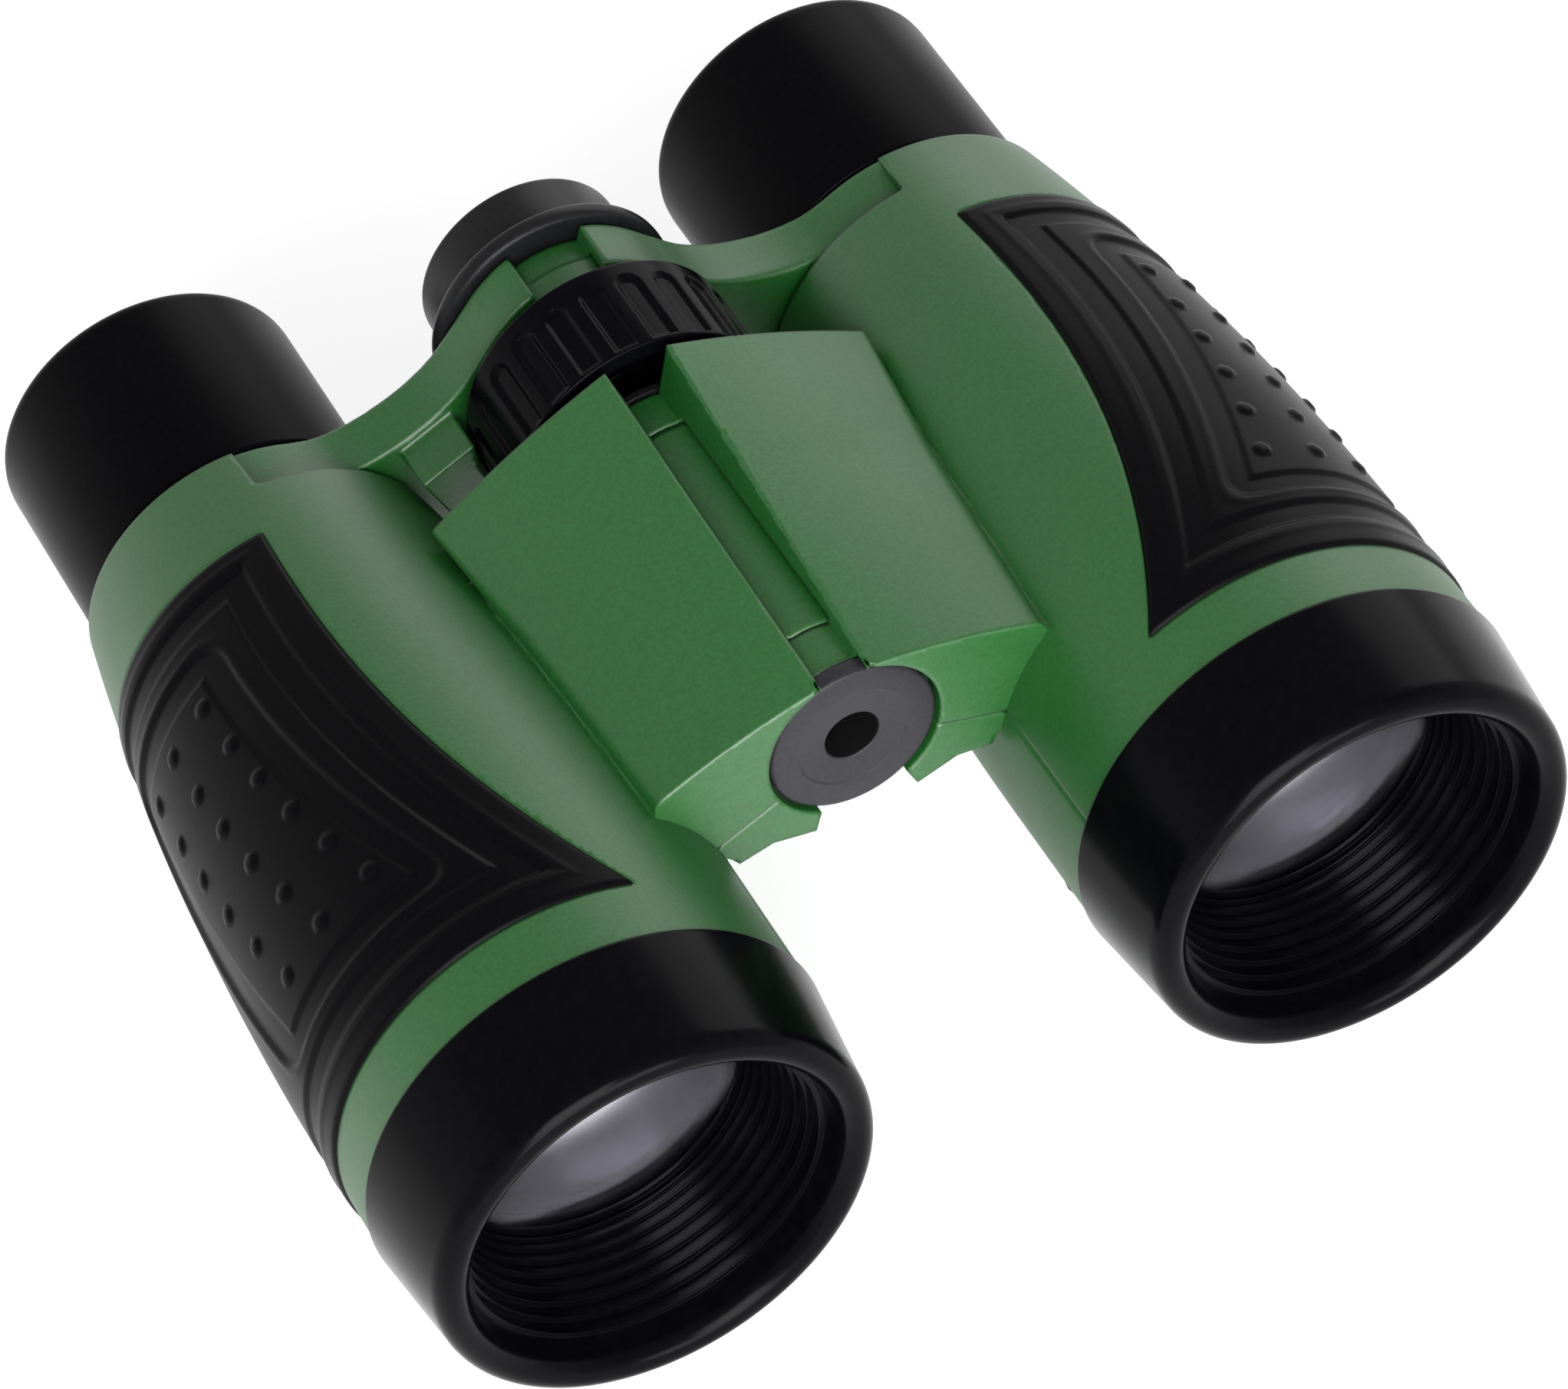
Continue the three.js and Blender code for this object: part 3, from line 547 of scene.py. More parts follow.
def turned_piece(node, ending, outline, body, side=0, sides=144, change=None, smooth=30):
    """A turned piece in place of a CAD node, about its barrel's axis or, with side 0, the hinge's."""
    x = ARM if side else 0.0
    material = material_of(node)
    piece = lathe_object(node + ending, outline, side, body, material, x, sides, change, smooth)
    takes_over(node)


paint_cad_nodes()


# ---------- barrel shells ----------
BELLY_TAPER = 2.1
PAST_COLLAR = 1.05
# How far past the barrel's middle plane the pad's edge reaches at its rear, what it gains, and how.
PAD_EDGE_REAR, PAD_EDGE_GAIN, PAD_EDGE_CURVE = 5.6, 9.8, 2.4


def shell_radius(y):
    along = np.clip((BELLY_Y - y) / (BELLY_Y - SHELL_REAR_Y), 0, PAST_COLLAR)
    return BELLY - (BELLY - COLLAR) * along**BELLY_TAPER


def pad_share(y):
    """How far forward a place is along the pad, from 0 to 1."""
    return np.clip((y - PAD_REAR_Y) / (PAD_FRONT_Y - PAD_REAR_Y), 0, 1)


def pad_half_angle(y):
    """How far round from the outward direction the pad reaches, in radians."""
    past = PAD_EDGE_REAR + PAD_EDGE_GAIN * pad_share(y) ** PAD_EDGE_CURVE
    return np.arccos(-past / shell_radius(y))


CAP_THICKNESS = 1.6
CAP_REAR_Y = WING_FRONT_Y - GAP - CAP_THICKNESS
KNUCKLE_FRONT_Y = CAP_REAR_Y - GAP
FRONT_KNUCKLE, REAR_KNUCKLE = 4.6, 4
OUTER_SPANS = (
    (KNUCKLE_FRONT_Y - FRONT_KNUCKLE, KNUCKLE_FRONT_Y),
    (WING_REAR_Y, WING_REAR_Y + REAR_KNUCKLE),
)
MIDDLE_SPAN = (WING_REAR_Y + REAR_KNUCKLE + GAP, KNUCKLE_FRONT_Y - FRONT_KNUCKLE - GAP)
CAP_SEAT_SPAN = (CAP_REAR_Y - GAP, WING_FRONT_Y + 1)

# The wing's sizes at its front, and what each gains towards the rear.
WALL_X, WALL_LEAN, WALL_HEIGHT = -0.84, 0.87, 12.8
OUTER_X, OUTER_GAIN = 17.0, 1.9
INNER_TOP, INNER_TOP_GAIN = 8.35, 4.49
OUTER_TOP, OUTER_TOP_GAIN = 9.81, 0.96
WING_CROWN = 2.4
FLANK_LEAN = 0.19
SHOULDER_FROM, SHOULDER_FRONT, SHOULDER_REAR = 0.6, 2.4, 0.7
UNDERSIDE_X = (0.0, 6.2, 7.77, 11.15, 15.05, 20.0)
UNDERSIDE_Z = (-3.0, -4.9, -6.63, -4.24, -3.51, -2.6)
# Where a distance function is steeper than 1, this evens it out.
UNDERSIDE_SCALE = 0.85
TAPER_SCALE = 0.98
WING_FILLET = 0.4
SHELL_TUCK = 0.2
PAD_POCKET = 1.2
PAD_ARC = 18
NOTCH_HALF_ANGLE = math.radians(64.5)
NOTCH_CORNER = 0.8


def wing(x, y, z):
    """The hinge wing: an arched plate that rises and spreads towards the rear."""
    back = np.clip((WING_FRONT_Y - y) / (WING_FRONT_Y - WING_REAR_Y), 0, 1)
    inner, outer = WALL_X - WALL_LEAN * back, OUTER_X + OUTER_GAIN * back
    across = (x - inner) / (outer - inner)
    low_top, high_top = INNER_TOP + INNER_TOP_GAIN * back, OUTER_TOP + OUTER_TOP_GAIN * back
    top = low_top + (high_top - low_top) * across + WING_CROWN * across * (1 - across)
    wall = WALL_X - WALL_LEAN * back * np.clip(z / WALL_HEIGHT, 0, 1)
    flank = outer - (high_top - z) * FLANK_LEAN
    shoulder = np.interp(back, (SHOULDER_FROM, 1.0), (SHOULDER_FRONT, SHOULDER_REAR))
    body = smooth_max(z - top, x - flank, shoulder)
    body = np.maximum(body, wall - x)
    bottom = np.interp(x, UNDERSIDE_X, UNDERSIDE_Z)
    return np.maximum(body, (bottom - z) * UNDERSIDE_SCALE)


def knuckle(x, y, z, spans, radius, grow=0.0):
    """Cylinders about the hinge axis over the given spans along Y."""
    from_hinge = np.hypot(x, z) - radius
    return np.minimum.reduce([np.maximum(from_hinge, slab(y, a - grow, b + grow)) for a, b in spans])


def pad_recess(x, y, z):
    """The shallow pocket that the grip pad lies in."""
    r, spread = np.hypot(x - ARM, z), np.arctan2(np.abs(z), x - ARM)
    beside = (spread - pad_half_angle(y)) * PAD_ARC - PAD_SEAM
    recess = np.maximum(shell_radius(y) - PAD_POCKET - r, beside)
    return np.maximum(recess, slab(y, PAD_REAR_Y - PAD_SEAM, PAD_FRONT_Y + PAD_SEAM))


def arm_notch(x, y, z):
    """The wedge cut from the rear of the shell, where the eyepiece arm passes in."""
    wedge = np.abs(z) * math.cos(NOTCH_HALF_ANGLE) + (x - ARM) * math.sin(NOTCH_HALF_ANGLE)
    return smooth_max(wedge, y - NOTCH_Y, NOTCH_CORNER)


def side_shell(own_spans, other_spans):
    """A side's two shell halves as one: barrel, wing, its own knuckles and seats for the other's."""
    def distance(x, y, z):
        r = np.hypot(x - ARM, z)
        barrel = (r - shell_radius(y)) * TAPER_SCALE
        body = np.maximum(barrel, slab(y, SHELL_REAR_Y, HOOD_REAR_Y + SHELL_TUCK))
        winged = smooth_min(body, wing(x, y, z), WING_FILLET)
        body = np.minimum(body, np.maximum(winged, slab(y, WING_REAR_Y, WING_FRONT_Y)))
        seats = knuckle(x, y, z, other_spans, KNUCKLE_SEAT, GAP)
        cap_seat = knuckle(x, y, z, [CAP_SEAT_SPAN], KNUCKLE_SEAT)
        body = np.maximum(body, -np.minimum(seats, cap_seat))
        body = np.minimum(body, knuckle(x, y, z, own_spans, KNUCKLE))
        body = np.maximum(body, SLEEVE_HOLE - np.hypot(x, z))
        body = np.maximum(body, np.maximum(shell_radius(y) - SHELL_WALL, COLLAR_BORE) - r)
        body = np.maximum(body, -pad_recess(x, y, z))
        return np.maximum(body, -arm_notch(x, y, z))

    return distance


SIDES = (
    ("right", 1, "right_barrel", [MIDDLE_SPAN], OUTER_SPANS),
    ("left", -1, "left_barrel", OUTER_SPANS, [MIDDLE_SPAN]),
)
SHELL_PITCH = 0.38
SHELL_INNER_X = -9
PAST_PARTING = 0.6


def build_shells(prefix, side, body, own_spans, other_spans):
    whole = side_shell(own_spans, other_spans)
    reach = BELLY + 1
    for half, sign in (("upper", 1), ("lower", -1)):
        def distance(x, y, z, sign=sign):
            return np.maximum(whole(x, y, z), PARTING / 2 - sign * z)

        low = (SHELL_INNER_X, SHELL_REAR_Y - 1, -PAST_PARTING if sign > 0 else -reach)
        high = (ARM + reach, SHELL_FRONT_Y + 1, reach if sign > 0 else PAST_PARTING)
        node = f"{prefix}_{half}_shell"
        skin = shaped(node + "_skin", distance, low, high, SHELL_PITCH, side, body, material_of(node))
        takes_over(node)


# ---------- grip pads ----------
# The raised dots: places along the pad, the first row's angles in degrees, and the next rows' step.
DOT_YS = (-57.4, -51.6, -46.3, -40.8, -35.3, -29.8)
DOT_ANGLES = (70.1, 72.4, 74.7, 77.6, 81.5, 86.1)
DOT_ROWS = 3
DOT_ROW_STEP = 16.5
DOT_RADIUS, DOT_HEIGHT = 0.85, 0.36
# Four nested frames: the share of the way from the pad's edge to the panel, and each one's rise.
FRAME_REAR = (0.27, 0.5, 0.74, 1.0)
FRAME_FRONT = (0.36, 0.6, 0.78, 1.0)
FRAME_RISE = (-0.34, 0.30, -0.34, 0.26)
FRAME_SLOPE = 0.45
RIM_HEIGHT, PAD_MOST_HEIGHT = 0.30, 0.5
# Frames 2 and 3 also end below the panel, frame 2 with round corners and further down.
CLOSED_FRAME, CLOSED_CORNER, CLOSED_MARGIN = 2, 3.5, 9.5
# Beads along frames: each one's place outside the frame and its width.
BEADS = ((0, 1.0, 0.35), (2, 0.55, 0.3))
BEAD_HEIGHT = 0.07
# The panel's ends, and the angles of its upper and lower edges in degrees with what they gain.
PANEL_REAR_Y, PANEL_FRONT_Y = -60.0, -26.7
PANEL_TOP, PANEL_TOP_GAIN = 74, 20
PANEL_LOW, PANEL_LOW_GAIN = 28, 15
PANEL_CURVE, PAST_PANEL = 1.7, 1.3


def soft_step(value, width):
    t = np.clip(value / width + 0.5, 0, 1)
    return t * t * (3 - 2 * t)


def inside_frame(y, angle, k):
    """How far a place on the pad lies inside nested frame k, in millimetres."""
    per_degree = shell_radius(y) * math.pi / 180
    a = np.abs(np.degrees(angle))
    edge = np.degrees(pad_half_angle(y))
    forward = np.clip((y - PANEL_REAR_Y) / (PANEL_FRONT_Y - PANEL_REAR_Y), 0, PAST_PANEL)
    panel_top = PANEL_TOP + PANEL_TOP_GAIN * forward**PANEL_CURVE
    share = FRAME_REAR[k] + (FRAME_FRONT[k] - FRAME_REAR[k]) * pad_share(y)
    sides = (edge + (panel_top - edge) * share - a) * per_degree
    from_rear = y - (PAD_REAR_Y + (PANEL_REAR_Y - PAD_REAR_Y) * FRAME_REAR[k])
    from_front = PAD_FRONT_Y + (PANEL_FRONT_Y - PAD_FRONT_Y) * FRAME_FRONT[k] - y
    ends = np.minimum(from_rear, from_front)
    if k >= CLOSED_FRAME:
        panel_low = PANEL_LOW + PANEL_LOW_GAIN * forward**PANEL_CURVE
        margin = CLOSED_MARGIN if k == CLOSED_FRAME else 0
        sides = np.minimum(sides, (a - panel_low + margin) * per_degree)
    if k == CLOSED_FRAME:
        return -smooth_max(-sides, -ends, CLOSED_CORNER)
    return np.minimum(sides, ends)


def pad_height(y, angle):
    """How far the pad stands out from the shell: nested frames, beads along them, and dots."""
    height = np.full_like(y, RIM_HEIGHT)
    for k, rise in enumerate(FRAME_RISE):
        height += rise * soft_step(inside_frame(y, angle, k), FRAME_SLOPE)
    for k, outside, width in BEADS:
        height += BEAD_HEIGHT * np.exp(-((inside_frame(y, angle, k) + outside) / width) ** 2)
    a = np.abs(np.degrees(angle))
    per_degree = shell_radius(y) * math.pi / 180
    for row in range(DOT_ROWS):
        for dot_y, dot_angle in zip(DOT_YS, DOT_ANGLES):
            off = np.hypot(y - dot_y, (a - dot_angle + DOT_ROW_STEP * row) * per_degree)
            height += DOT_HEIGHT * np.sqrt(np.clip(1 - (off / DOT_RADIUS) ** 2, 0, 1))
    return np.minimum(height, PAD_MOST_HEIGHT)


PAD_SPACING = 0.26
PAD_THICKNESS = 0.85
PAD_MOST_ANGLE = math.radians(122)
PAD_BEAD, PAD_BEAD_DROP = 0.75, 0.3


def rim_of(rows, columns):
    """The places round the edge of a grid, in order."""
    rim = list(range(columns))
    rim += [i * columns + columns - 1 for i in range(1, rows)]
    rim += [(rows - 1) * columns + j for j in range(columns - 2, -1, -1)]
    rim += [i * columns for i in range(rows - 2, 0, -1)]
    return rim


def pad_faces(rows, columns):
    """The faces of a pad: its outer grid of points, its inner one, and the wall between them."""
    count = rows * columns
    grid = grid_faces(rows, columns, wrap_columns=False)
    faces = [tuple(reversed(f)) for f in grid] + [tuple(v + count for v in f) for f in grid]
    rim = rim_of(rows, columns)
    faces += [(v, w, w + count, v + count) for v, w in zip(rim, rim[1:] + rim[:1])]
    return faces


def build_pad(prefix, side, body):
    rows = int((PAD_FRONT_Y - PAD_REAR_Y) / PAD_SPACING)
    columns = int(2 * PAD_MOST_ANGLE * BELLY / PAD_SPACING)
    ys = np.linspace(PAD_REAR_Y - PAD_LAP, PAD_FRONT_Y + PAD_LAP, rows)
    y, share = np.meshgrid(ys, np.linspace(-1, 1, columns), indexing="ij")
    radius = shell_radius(y)
    half = pad_half_angle(y) + PAD_LAP / radius
    angle = share * half
    from_ends = np.minimum(y - ys[0], ys[-1] - y)
    edge = np.clip(np.minimum((half - np.abs(angle)) * radius, from_ends) / PAD_BEAD, 0, 1)
    outer = radius + pad_height(y, angle) * np.sqrt(1 - (1 - edge) ** 2)
    outer = outer - PAD_BEAD_DROP * (1 - edge) ** 3
    points = [
        np.stack([ARM + r * np.cos(angle), y, r * np.sin(angle)], -1).reshape(-1, 3)
        for r in (outer, radius - PAD_THICKNESS)
    ]
    node = f"{prefix}_grip_pad"
    faces = pad_faces(rows, columns)
    pad = mesh_object(
        node + "_moulded", np.concatenate(points), faces, side, body, material_of(node), smooth=50
    )
    takes_over(node)


# ---------- objective hoods ----------
BORE_STEPS = 8
BORE_STEP_CURVE = 1.25
# Each step of the bore is a shallow groove in front of the step behind it.
GROOVE_FLOOR, GROOVE_TOP = 0.12, 0.1
GROOVE_WALL, GROOVE_END = 0.25, 0.2
LEDGE = 0.35
LIP_HEIGHT = 2.1
BORE_FRONT_Y = LIP_Y - 3.4
BORE_LAST, BORE_FIRST = MOUTH - 0.3, APERTURE + 0.5
SPIGOT_LENGTH, SPIGOT_BORE, SEAT_BORE = 8.4, 15.3, 14.6
LENS_SEAT_Y = LEDGE_Y - 1.2


def hood_lip():
    crest, radius = (HOOD_FRONT + MOUTH) / 2, (HOOD_FRONT - MOUTH) / 2
    turn = np.linspace(0, math.pi, 17)
    return [(crest - radius * math.cos(a), LIP_Y - LIP_HEIGHT * (1 - math.sin(a)), 0) for a in turn]


def hood_bore():
    steps = np.linspace(0, 1, BORE_STEPS + 1) ** BORE_STEP_CURVE
    stations = LEDGE_Y + (BORE_FRONT_Y - LEDGE_Y) * steps
    radii = BORE_FIRST + (BORE_LAST - BORE_FIRST) * steps
    bore = []
    for radius, start, end in zip(radii, stations, stations[1:]):
        bore += [(radius + GROOVE_FLOOR, start, 0.04), (radius + GROOVE_FLOOR, end - GROOVE_WALL, 0.04)]
        bore += [(radius - GROOVE_TOP, end - GROOVE_END, 0.08), (radius - GROOVE_TOP, end, 0.08)]
    return bore


def build_hood(prefix, side, body):
    spigot = BELLY - SHELL_WALL - GAP
    spigot_rear = HOOD_REAR_Y - SPIGOT_LENGTH
    profile = [
        (APERTURE, LEDGE_Y - LEDGE, 0.05),
        (APERTURE, LEDGE_Y, 0.1),
        *hood_bore(),
        (BORE_LAST, BORE_FRONT_Y, 0.04),
        *hood_lip(),
        (HOOD_REAR - 0.03, HOOD_REAR_Y + 0.3, 0.3),
        (HOOD_REAR - 0.35, HOOD_REAR_Y, 0.15),
        (spigot, HOOD_REAR_Y, 0.1),
        (spigot, spigot_rear, 0.3),
        (SPIGOT_BORE, spigot_rear, 0.3),
        (SPIGOT_BORE, LENS_SEAT_Y, 0.1),
        (SEAT_BORE, LEDGE_Y - LEDGE, 0.1),
    ]
    turned_piece(f"{prefix}_objective_hood", "_turned", rounded(profile, 0.2, 3), body, side, 224)


LENS_RADIUS, LENS_EDGE = 15, 1.8
BEVEL_RADIUS, BEVEL_HEIGHT = 12.7, 1.0
FRONT_DOME, REAR_DOME = 0.9, 1.4


def build_lens(prefix, side, body):
    edge_y = LENS_SEAT_Y - GAP
    dome_y, rear_y = edge_y + BEVEL_HEIGHT, edge_y - LENS_EDGE
    across = np.linspace(1, 0, 13)
    dome = [(BEVEL_RADIUS * v, dome_y + FRONT_DOME * (1 - v * v), 0) for v in across]
    rear = [(LENS_RADIUS * v, rear_y - REAR_DOME * (1 - v * v), 0) for v in across[::-1]]
    outline = rounded([*rear, (LENS_RADIUS, edge_y, 0.1), *dome], 0)
    turned_piece(f"{prefix}_objective_lens", "_ground", outline, body, side, 128)


# ---------- eyepieces ----------
def smooth_curve(places, steps=10):
    """Points along a smooth line through the given (x, z) places, for np.interp."""
    p = np.array([places[0], *places, places[-1]], float)
    t = np.linspace(0, 1, steps, endpoint=False)[:, None]
    parts = [
        0.5 * (2 * b + (c - a) * t + (2 * a - 5 * b + 4 * c - d) * t**2 + (3 * b - a - 3 * c + d) * t**3)
        for a, b, c, d in zip(p, p[1:], p[2:], p[3:])
    ]
    return np.concatenate([*parts, p[-1:]]).T


# The arm's upper and lower outlines, from the hub to the eyepiece's ring.
ARM_TOP = smooth_curve(
    [(-1, 10.9), (1.2, 10.83), (4, 10.1), (7.4, 8.5), (11, 7.0), (15.2, 6.5), (20, 7.1), (25, 9), (30, 11)]
)
ARM_LOW = smooth_curve(
    [(-1, -0.3), (4.8, -2.6), (8.35, -6.6), (12, -6.6), (16, -6.4), (20, -7.1), (25, -9), (30, -11)]
)
LOW_SCALE = 0.8
WEB_INNER_X, WEB_OUTER_X = -0.38, ARM - 10
WEB_EDGE, WEB_END_EDGE, RING_FILLET, FACE_EDGE, BORE_EDGE = 0.4, 0.3, 1.2, 0.55, 0.3
SCREW_HOLE = 3.6
# The block beside the wheel.
STUB_INNER_X, STUB_OUTER_X, STUB_HALF_HEIGHT = 11.6, 17.7, 5.7
STUB_LENGTH, STUB_WHEEL_GAP, STUB_FILLET = 4.8, 0.4, 0.5
ARM_PITCH = 0.34


def arm_stub(x, y, z):
    stub = np.maximum(slab(x, STUB_INNER_X, STUB_OUTER_X), slab(z, -STUB_HALF_HEIGHT, STUB_HALF_HEIGHT))
    stub = np.maximum(stub, slab(y, ARM_MID_Y, ARM_FRONT_Y + STUB_LENGTH))
    return np.maximum(stub, WHEEL + STUB_WHEEL_GAP - np.hypot(x, z))


def eyepiece_arm(own_span, own_ring, other_span, other_ring, has_stub):
    """An arm with its ring round the eyepiece and its own share of the hub that the arms stack into."""
    def distance(x, y, z):
        hub, out = np.hypot(x, z), np.hypot(x - ARM, z)
        top, low = np.interp(x, *ARM_TOP), np.interp(x, *ARM_LOW)
        web = smooth_max(z - top, (low - z) * LOW_SCALE, WEB_EDGE)
        web = smooth_max(web, slab(x, WEB_INNER_X, WEB_OUTER_X), WEB_END_EDGE)
        body = smooth_min(web, out - OCULAR_RING, RING_FILLET)
        body = smooth_max(body, slab(y, ARM_REAR_Y, ARM_FRONT_Y), FACE_EDGE)
        if has_stub:
            body = smooth_min(body, arm_stub(x, y, z), STUB_FILLET)
        seat = slab(y, other_span[0] - GAP, other_span[1] + GAP)
        body = np.maximum(body, -np.maximum(hub - other_ring - GAP, seat))
        body = np.minimum(body, np.maximum(hub - own_ring, slab(y, *own_span)))
        body = np.maximum(body, SCREW_HOLE - hub)
        return smooth_max(body, TUBE + GAP - out, BORE_EDGE)

    return distance


FRONT_SPAN = (ARM_MID_Y + GAP / 2, ARM_FRONT_Y)
REAR_SPAN = (ARM_REAR_Y, ARM_MID_Y - GAP / 2)
EYEPIECES = (
    ("right", 1, "right_ocular", (FRONT_SPAN, FRONT_RING, REAR_SPAN, REAR_RING, True)),
    ("left", -1, "eyepiece_bridge", (REAR_SPAN, REAR_RING, FRONT_SPAN, FRONT_RING, False)),
)


def build_arm(prefix, side, body, make):
    reach = OCULAR_RING + 0.8
    low = (-HUB, ARM_REAR_Y - 0.8, -reach)
    high = (ARM + reach, ARM_FRONT_Y + STUB_LENGTH + 1, reach)
    node = f"{prefix}_eyepiece_arm"
    distance = eyepiece_arm(*make)
    skin = shaped(node + "_skin", distance, low, high, ARM_PITCH, side, body, material_of(node))
    takes_over(node)


CUP_OPENING, CUP_LIP, CUP_LIP_DEPTH, CUP_BEVEL = 9.6, 10.4, 2.6, 0.9


def build_eyecup(prefix, side, body):
    bore, lip_y = TUBE + GAP, EYECUP_REAR_Y + CUP_LIP_DEPTH
    profile = [
        (bore, COMPASS_FRONT_Y, 0.2),
        (EYECUP, COMPASS_FRONT_Y, 0.35),
        (EYECUP, EYECUP_REAR_Y, 1.7),
        (CUP_LIP, EYECUP_REAR_Y, 0.8),
        (CUP_OPENING, EYECUP_REAR_Y + CUP_BEVEL, 0.5),
        (CUP_OPENING, lip_y, 0.2),
        (bore, lip_y, 0.1),
    ]
    turned_piece(f"{prefix}_eyecup", "_moulded", rounded(profile, 0.2, 6), body, side, 160)


TUBE_FRONT_Y, TUBE_REAR_Y = ARM_FRONT_Y + 10.4, EYECUP_REAR_Y + CUP_LIP_DEPTH + GAP
TUBE_WALL = 1.4
EYE_LENS = TUBE - 4
EYE_SEAT, EYE_SEAT_THICKNESS = EYE_LENS - 0.8, 1
EYE_SEAT_Y = EYECUP_REAR_Y + 10.16
EYE_LENS_Y = EYE_SEAT_Y - EYE_SEAT_THICKNESS - GAP
EYE_LENS_THICKNESS, EYE_LENS_DISH = 2.4, 0.7
EYE_RING_LENGTH = 1.6
OCULAR_CORNER = 0.15


def build_ocular(prefix, side, body):
    """The tube inside the eyecup, its lens and the ring that holds the lens."""
    bore, pocket, seat_rear = TUBE - TUBE_WALL, EYE_LENS + GAP, EYE_SEAT_Y - EYE_SEAT_THICKNESS
    tube = [
        (bore, TUBE_FRONT_Y),
        (TUBE, TUBE_FRONT_Y),
        (TUBE, TUBE_REAR_Y),
        (pocket, TUBE_REAR_Y),
        (pocket, seat_rear),
        (EYE_SEAT, seat_rear),
        (EYE_SEAT, EYE_SEAT_Y),
        (bore, EYE_SEAT_Y),
    ]
    across = np.linspace(1, 0, 11)
    rear_y = EYE_LENS_Y - EYE_LENS_THICKNESS
    front = [(EYE_LENS * v, EYE_LENS_Y - EYE_LENS_DISH * (1 - v * v), 0) for v in across]
    rear = [(EYE_LENS * v, rear_y + EYE_LENS_DISH * (1 - v * v), 0) for v in across[::-1]]
    ring_front, ring_rear = rear_y - GAP, rear_y - GAP - EYE_RING_LENGTH
    ring = [
        (EYE_LENS, ring_front),
        (EYE_LENS, ring_rear),
        (EYE_SEAT, ring_rear, 0.5),
        (EYE_SEAT, ring_front),
    ]
    for part, profile in (("tube", tube), ("lens", rear + front), ("retainer", ring)):
        turned_piece(f"{prefix}_eyepiece_{part}", "_fine", rounded(profile, OCULAR_CORNER), body, side)


# ---------- hinge, wheel and compass ----------
CAP_SPIGOT, CAP_LENGTH = 3.3, 5.6
CAP_RIM, CAP_DISH_EDGE = 5.3, 5.1


def build_cap():
    front = WING_FRONT_Y - GAP
    profile = [
        (CAP_HOLE, front - CAP_LENGTH, 0.1),
        (CAP_SPIGOT, front - CAP_LENGTH, 0.2),
        (CAP_SPIGOT, CAP_REAR_Y, 0.1),
        (CAP, CAP_REAR_Y, 0.1),
        (CAP, front, 0.45),
        (CAP_RIM, front, 0.3),
        (CAP_DISH_EDGE, front - 0.1, 0.3),
        (CAP_HOLE, front - 0.3, 0.25),
    ]
    turned_piece("front_cap", "_turned", rounded(profile, 0.1), "left_barrel", sides=128)


GROOVES = 22
GROOVE_DEPTH = 0.42
GROOVE_HALF_WIDTH = 1.0
GROOVE_SLOPE = 0.6
GROOVE_REAR_MARGIN, GROOVE_FRONT_MARGIN = 1.9, 0.6
SIDES_PER_GROOVE = 26
WHEEL_EDGE = 0.45
WHEEL_RIM = WHEEL - 1.8
WHEEL_HUB, WHEEL_HUB_HOLE, HUB_INSET = 6.0, 3.5, 1.1
WEB_FRONT_Y, WEB_REAR_Y = WHEEL_FRONT_Y - 4.05, WHEEL_FRONT_Y - 6.45


def grooved(r, a, y):
    """Pulls the rim in at the wheel's grooves, which have rounded rear ends."""
    pitch = 2 * math.pi / GROOVES
    across = np.abs((a % pitch) - pitch / 2) * WHEEL
    rear, front = WHEEL_REAR_Y + GROOVE_REAR_MARGIN, WHEEL_FRONT_Y - GROOVE_FRONT_MARGIN
    past = np.maximum(0, rear + GROOVE_HALF_WIDTH - y)
    off = np.maximum(np.hypot(across, past) - GROOVE_HALF_WIDTH, y - front)
    depth = GROOVE_DEPTH * soft_step(-off, GROOVE_SLOPE)
    return np.where(r > WHEEL - 0.05, r - depth, r)


def build_wheel():
    ys = np.linspace(WHEEL_REAR_Y + WHEEL_EDGE, WHEEL_FRONT_Y - WHEEL_EDGE, 48)
    profile = [
        (WHEEL_HUB_HOLE, ARM_FRONT_Y + GAP, 0.1),
        (WHEEL_HUB, ARM_FRONT_Y + GAP, 0.3),
        (WHEEL_HUB, WEB_REAR_Y, 0.2),
        (WHEEL_RIM, WEB_REAR_Y, 0.3),
        (WHEEL_RIM, WHEEL_REAR_Y, 0.4),
        (WHEEL, WHEEL_REAR_Y, 0.4),
        *[(WHEEL, y, 0) for y in ys],
        (WHEEL, WHEEL_FRONT_Y, 0.4),
        (WHEEL_RIM, WHEEL_FRONT_Y, 0.4),
        (WHEEL_RIM, WEB_FRONT_Y, 0.3),
        (WHEEL_HUB, WEB_FRONT_Y, 0.2),
        (WHEEL_HUB, WHEEL_FRONT_Y - HUB_INSET, 0.3),
        (WHEEL_HUB_HOLE, WHEEL_FRONT_Y - HUB_INSET, 0.1),
    ]
    sides = GROOVES * SIDES_PER_GROOVE
    outline = rounded(profile, 0.2, 3)
    turned_piece("focus_wheel", "_ribbed", outline, "focus_drive", 0, sides, grooved, 60)


WASHER_HOLE, WASHER, WASHER_THICKNESS = 3.6, 7.7, 0.8


def build_washer():
    front = WING_REAR_Y - GAP
    rear = front - WASHER_THICKNESS
    profile = [(WASHER_HOLE, front, 0.1), (WASHER, front), (WASHER, rear), (WASHER_HOLE, rear, 0.1)]
    turned_piece("hinge_washer", "_turned", rounded(profile, 0.15, 3), "left_barrel", sides=96)


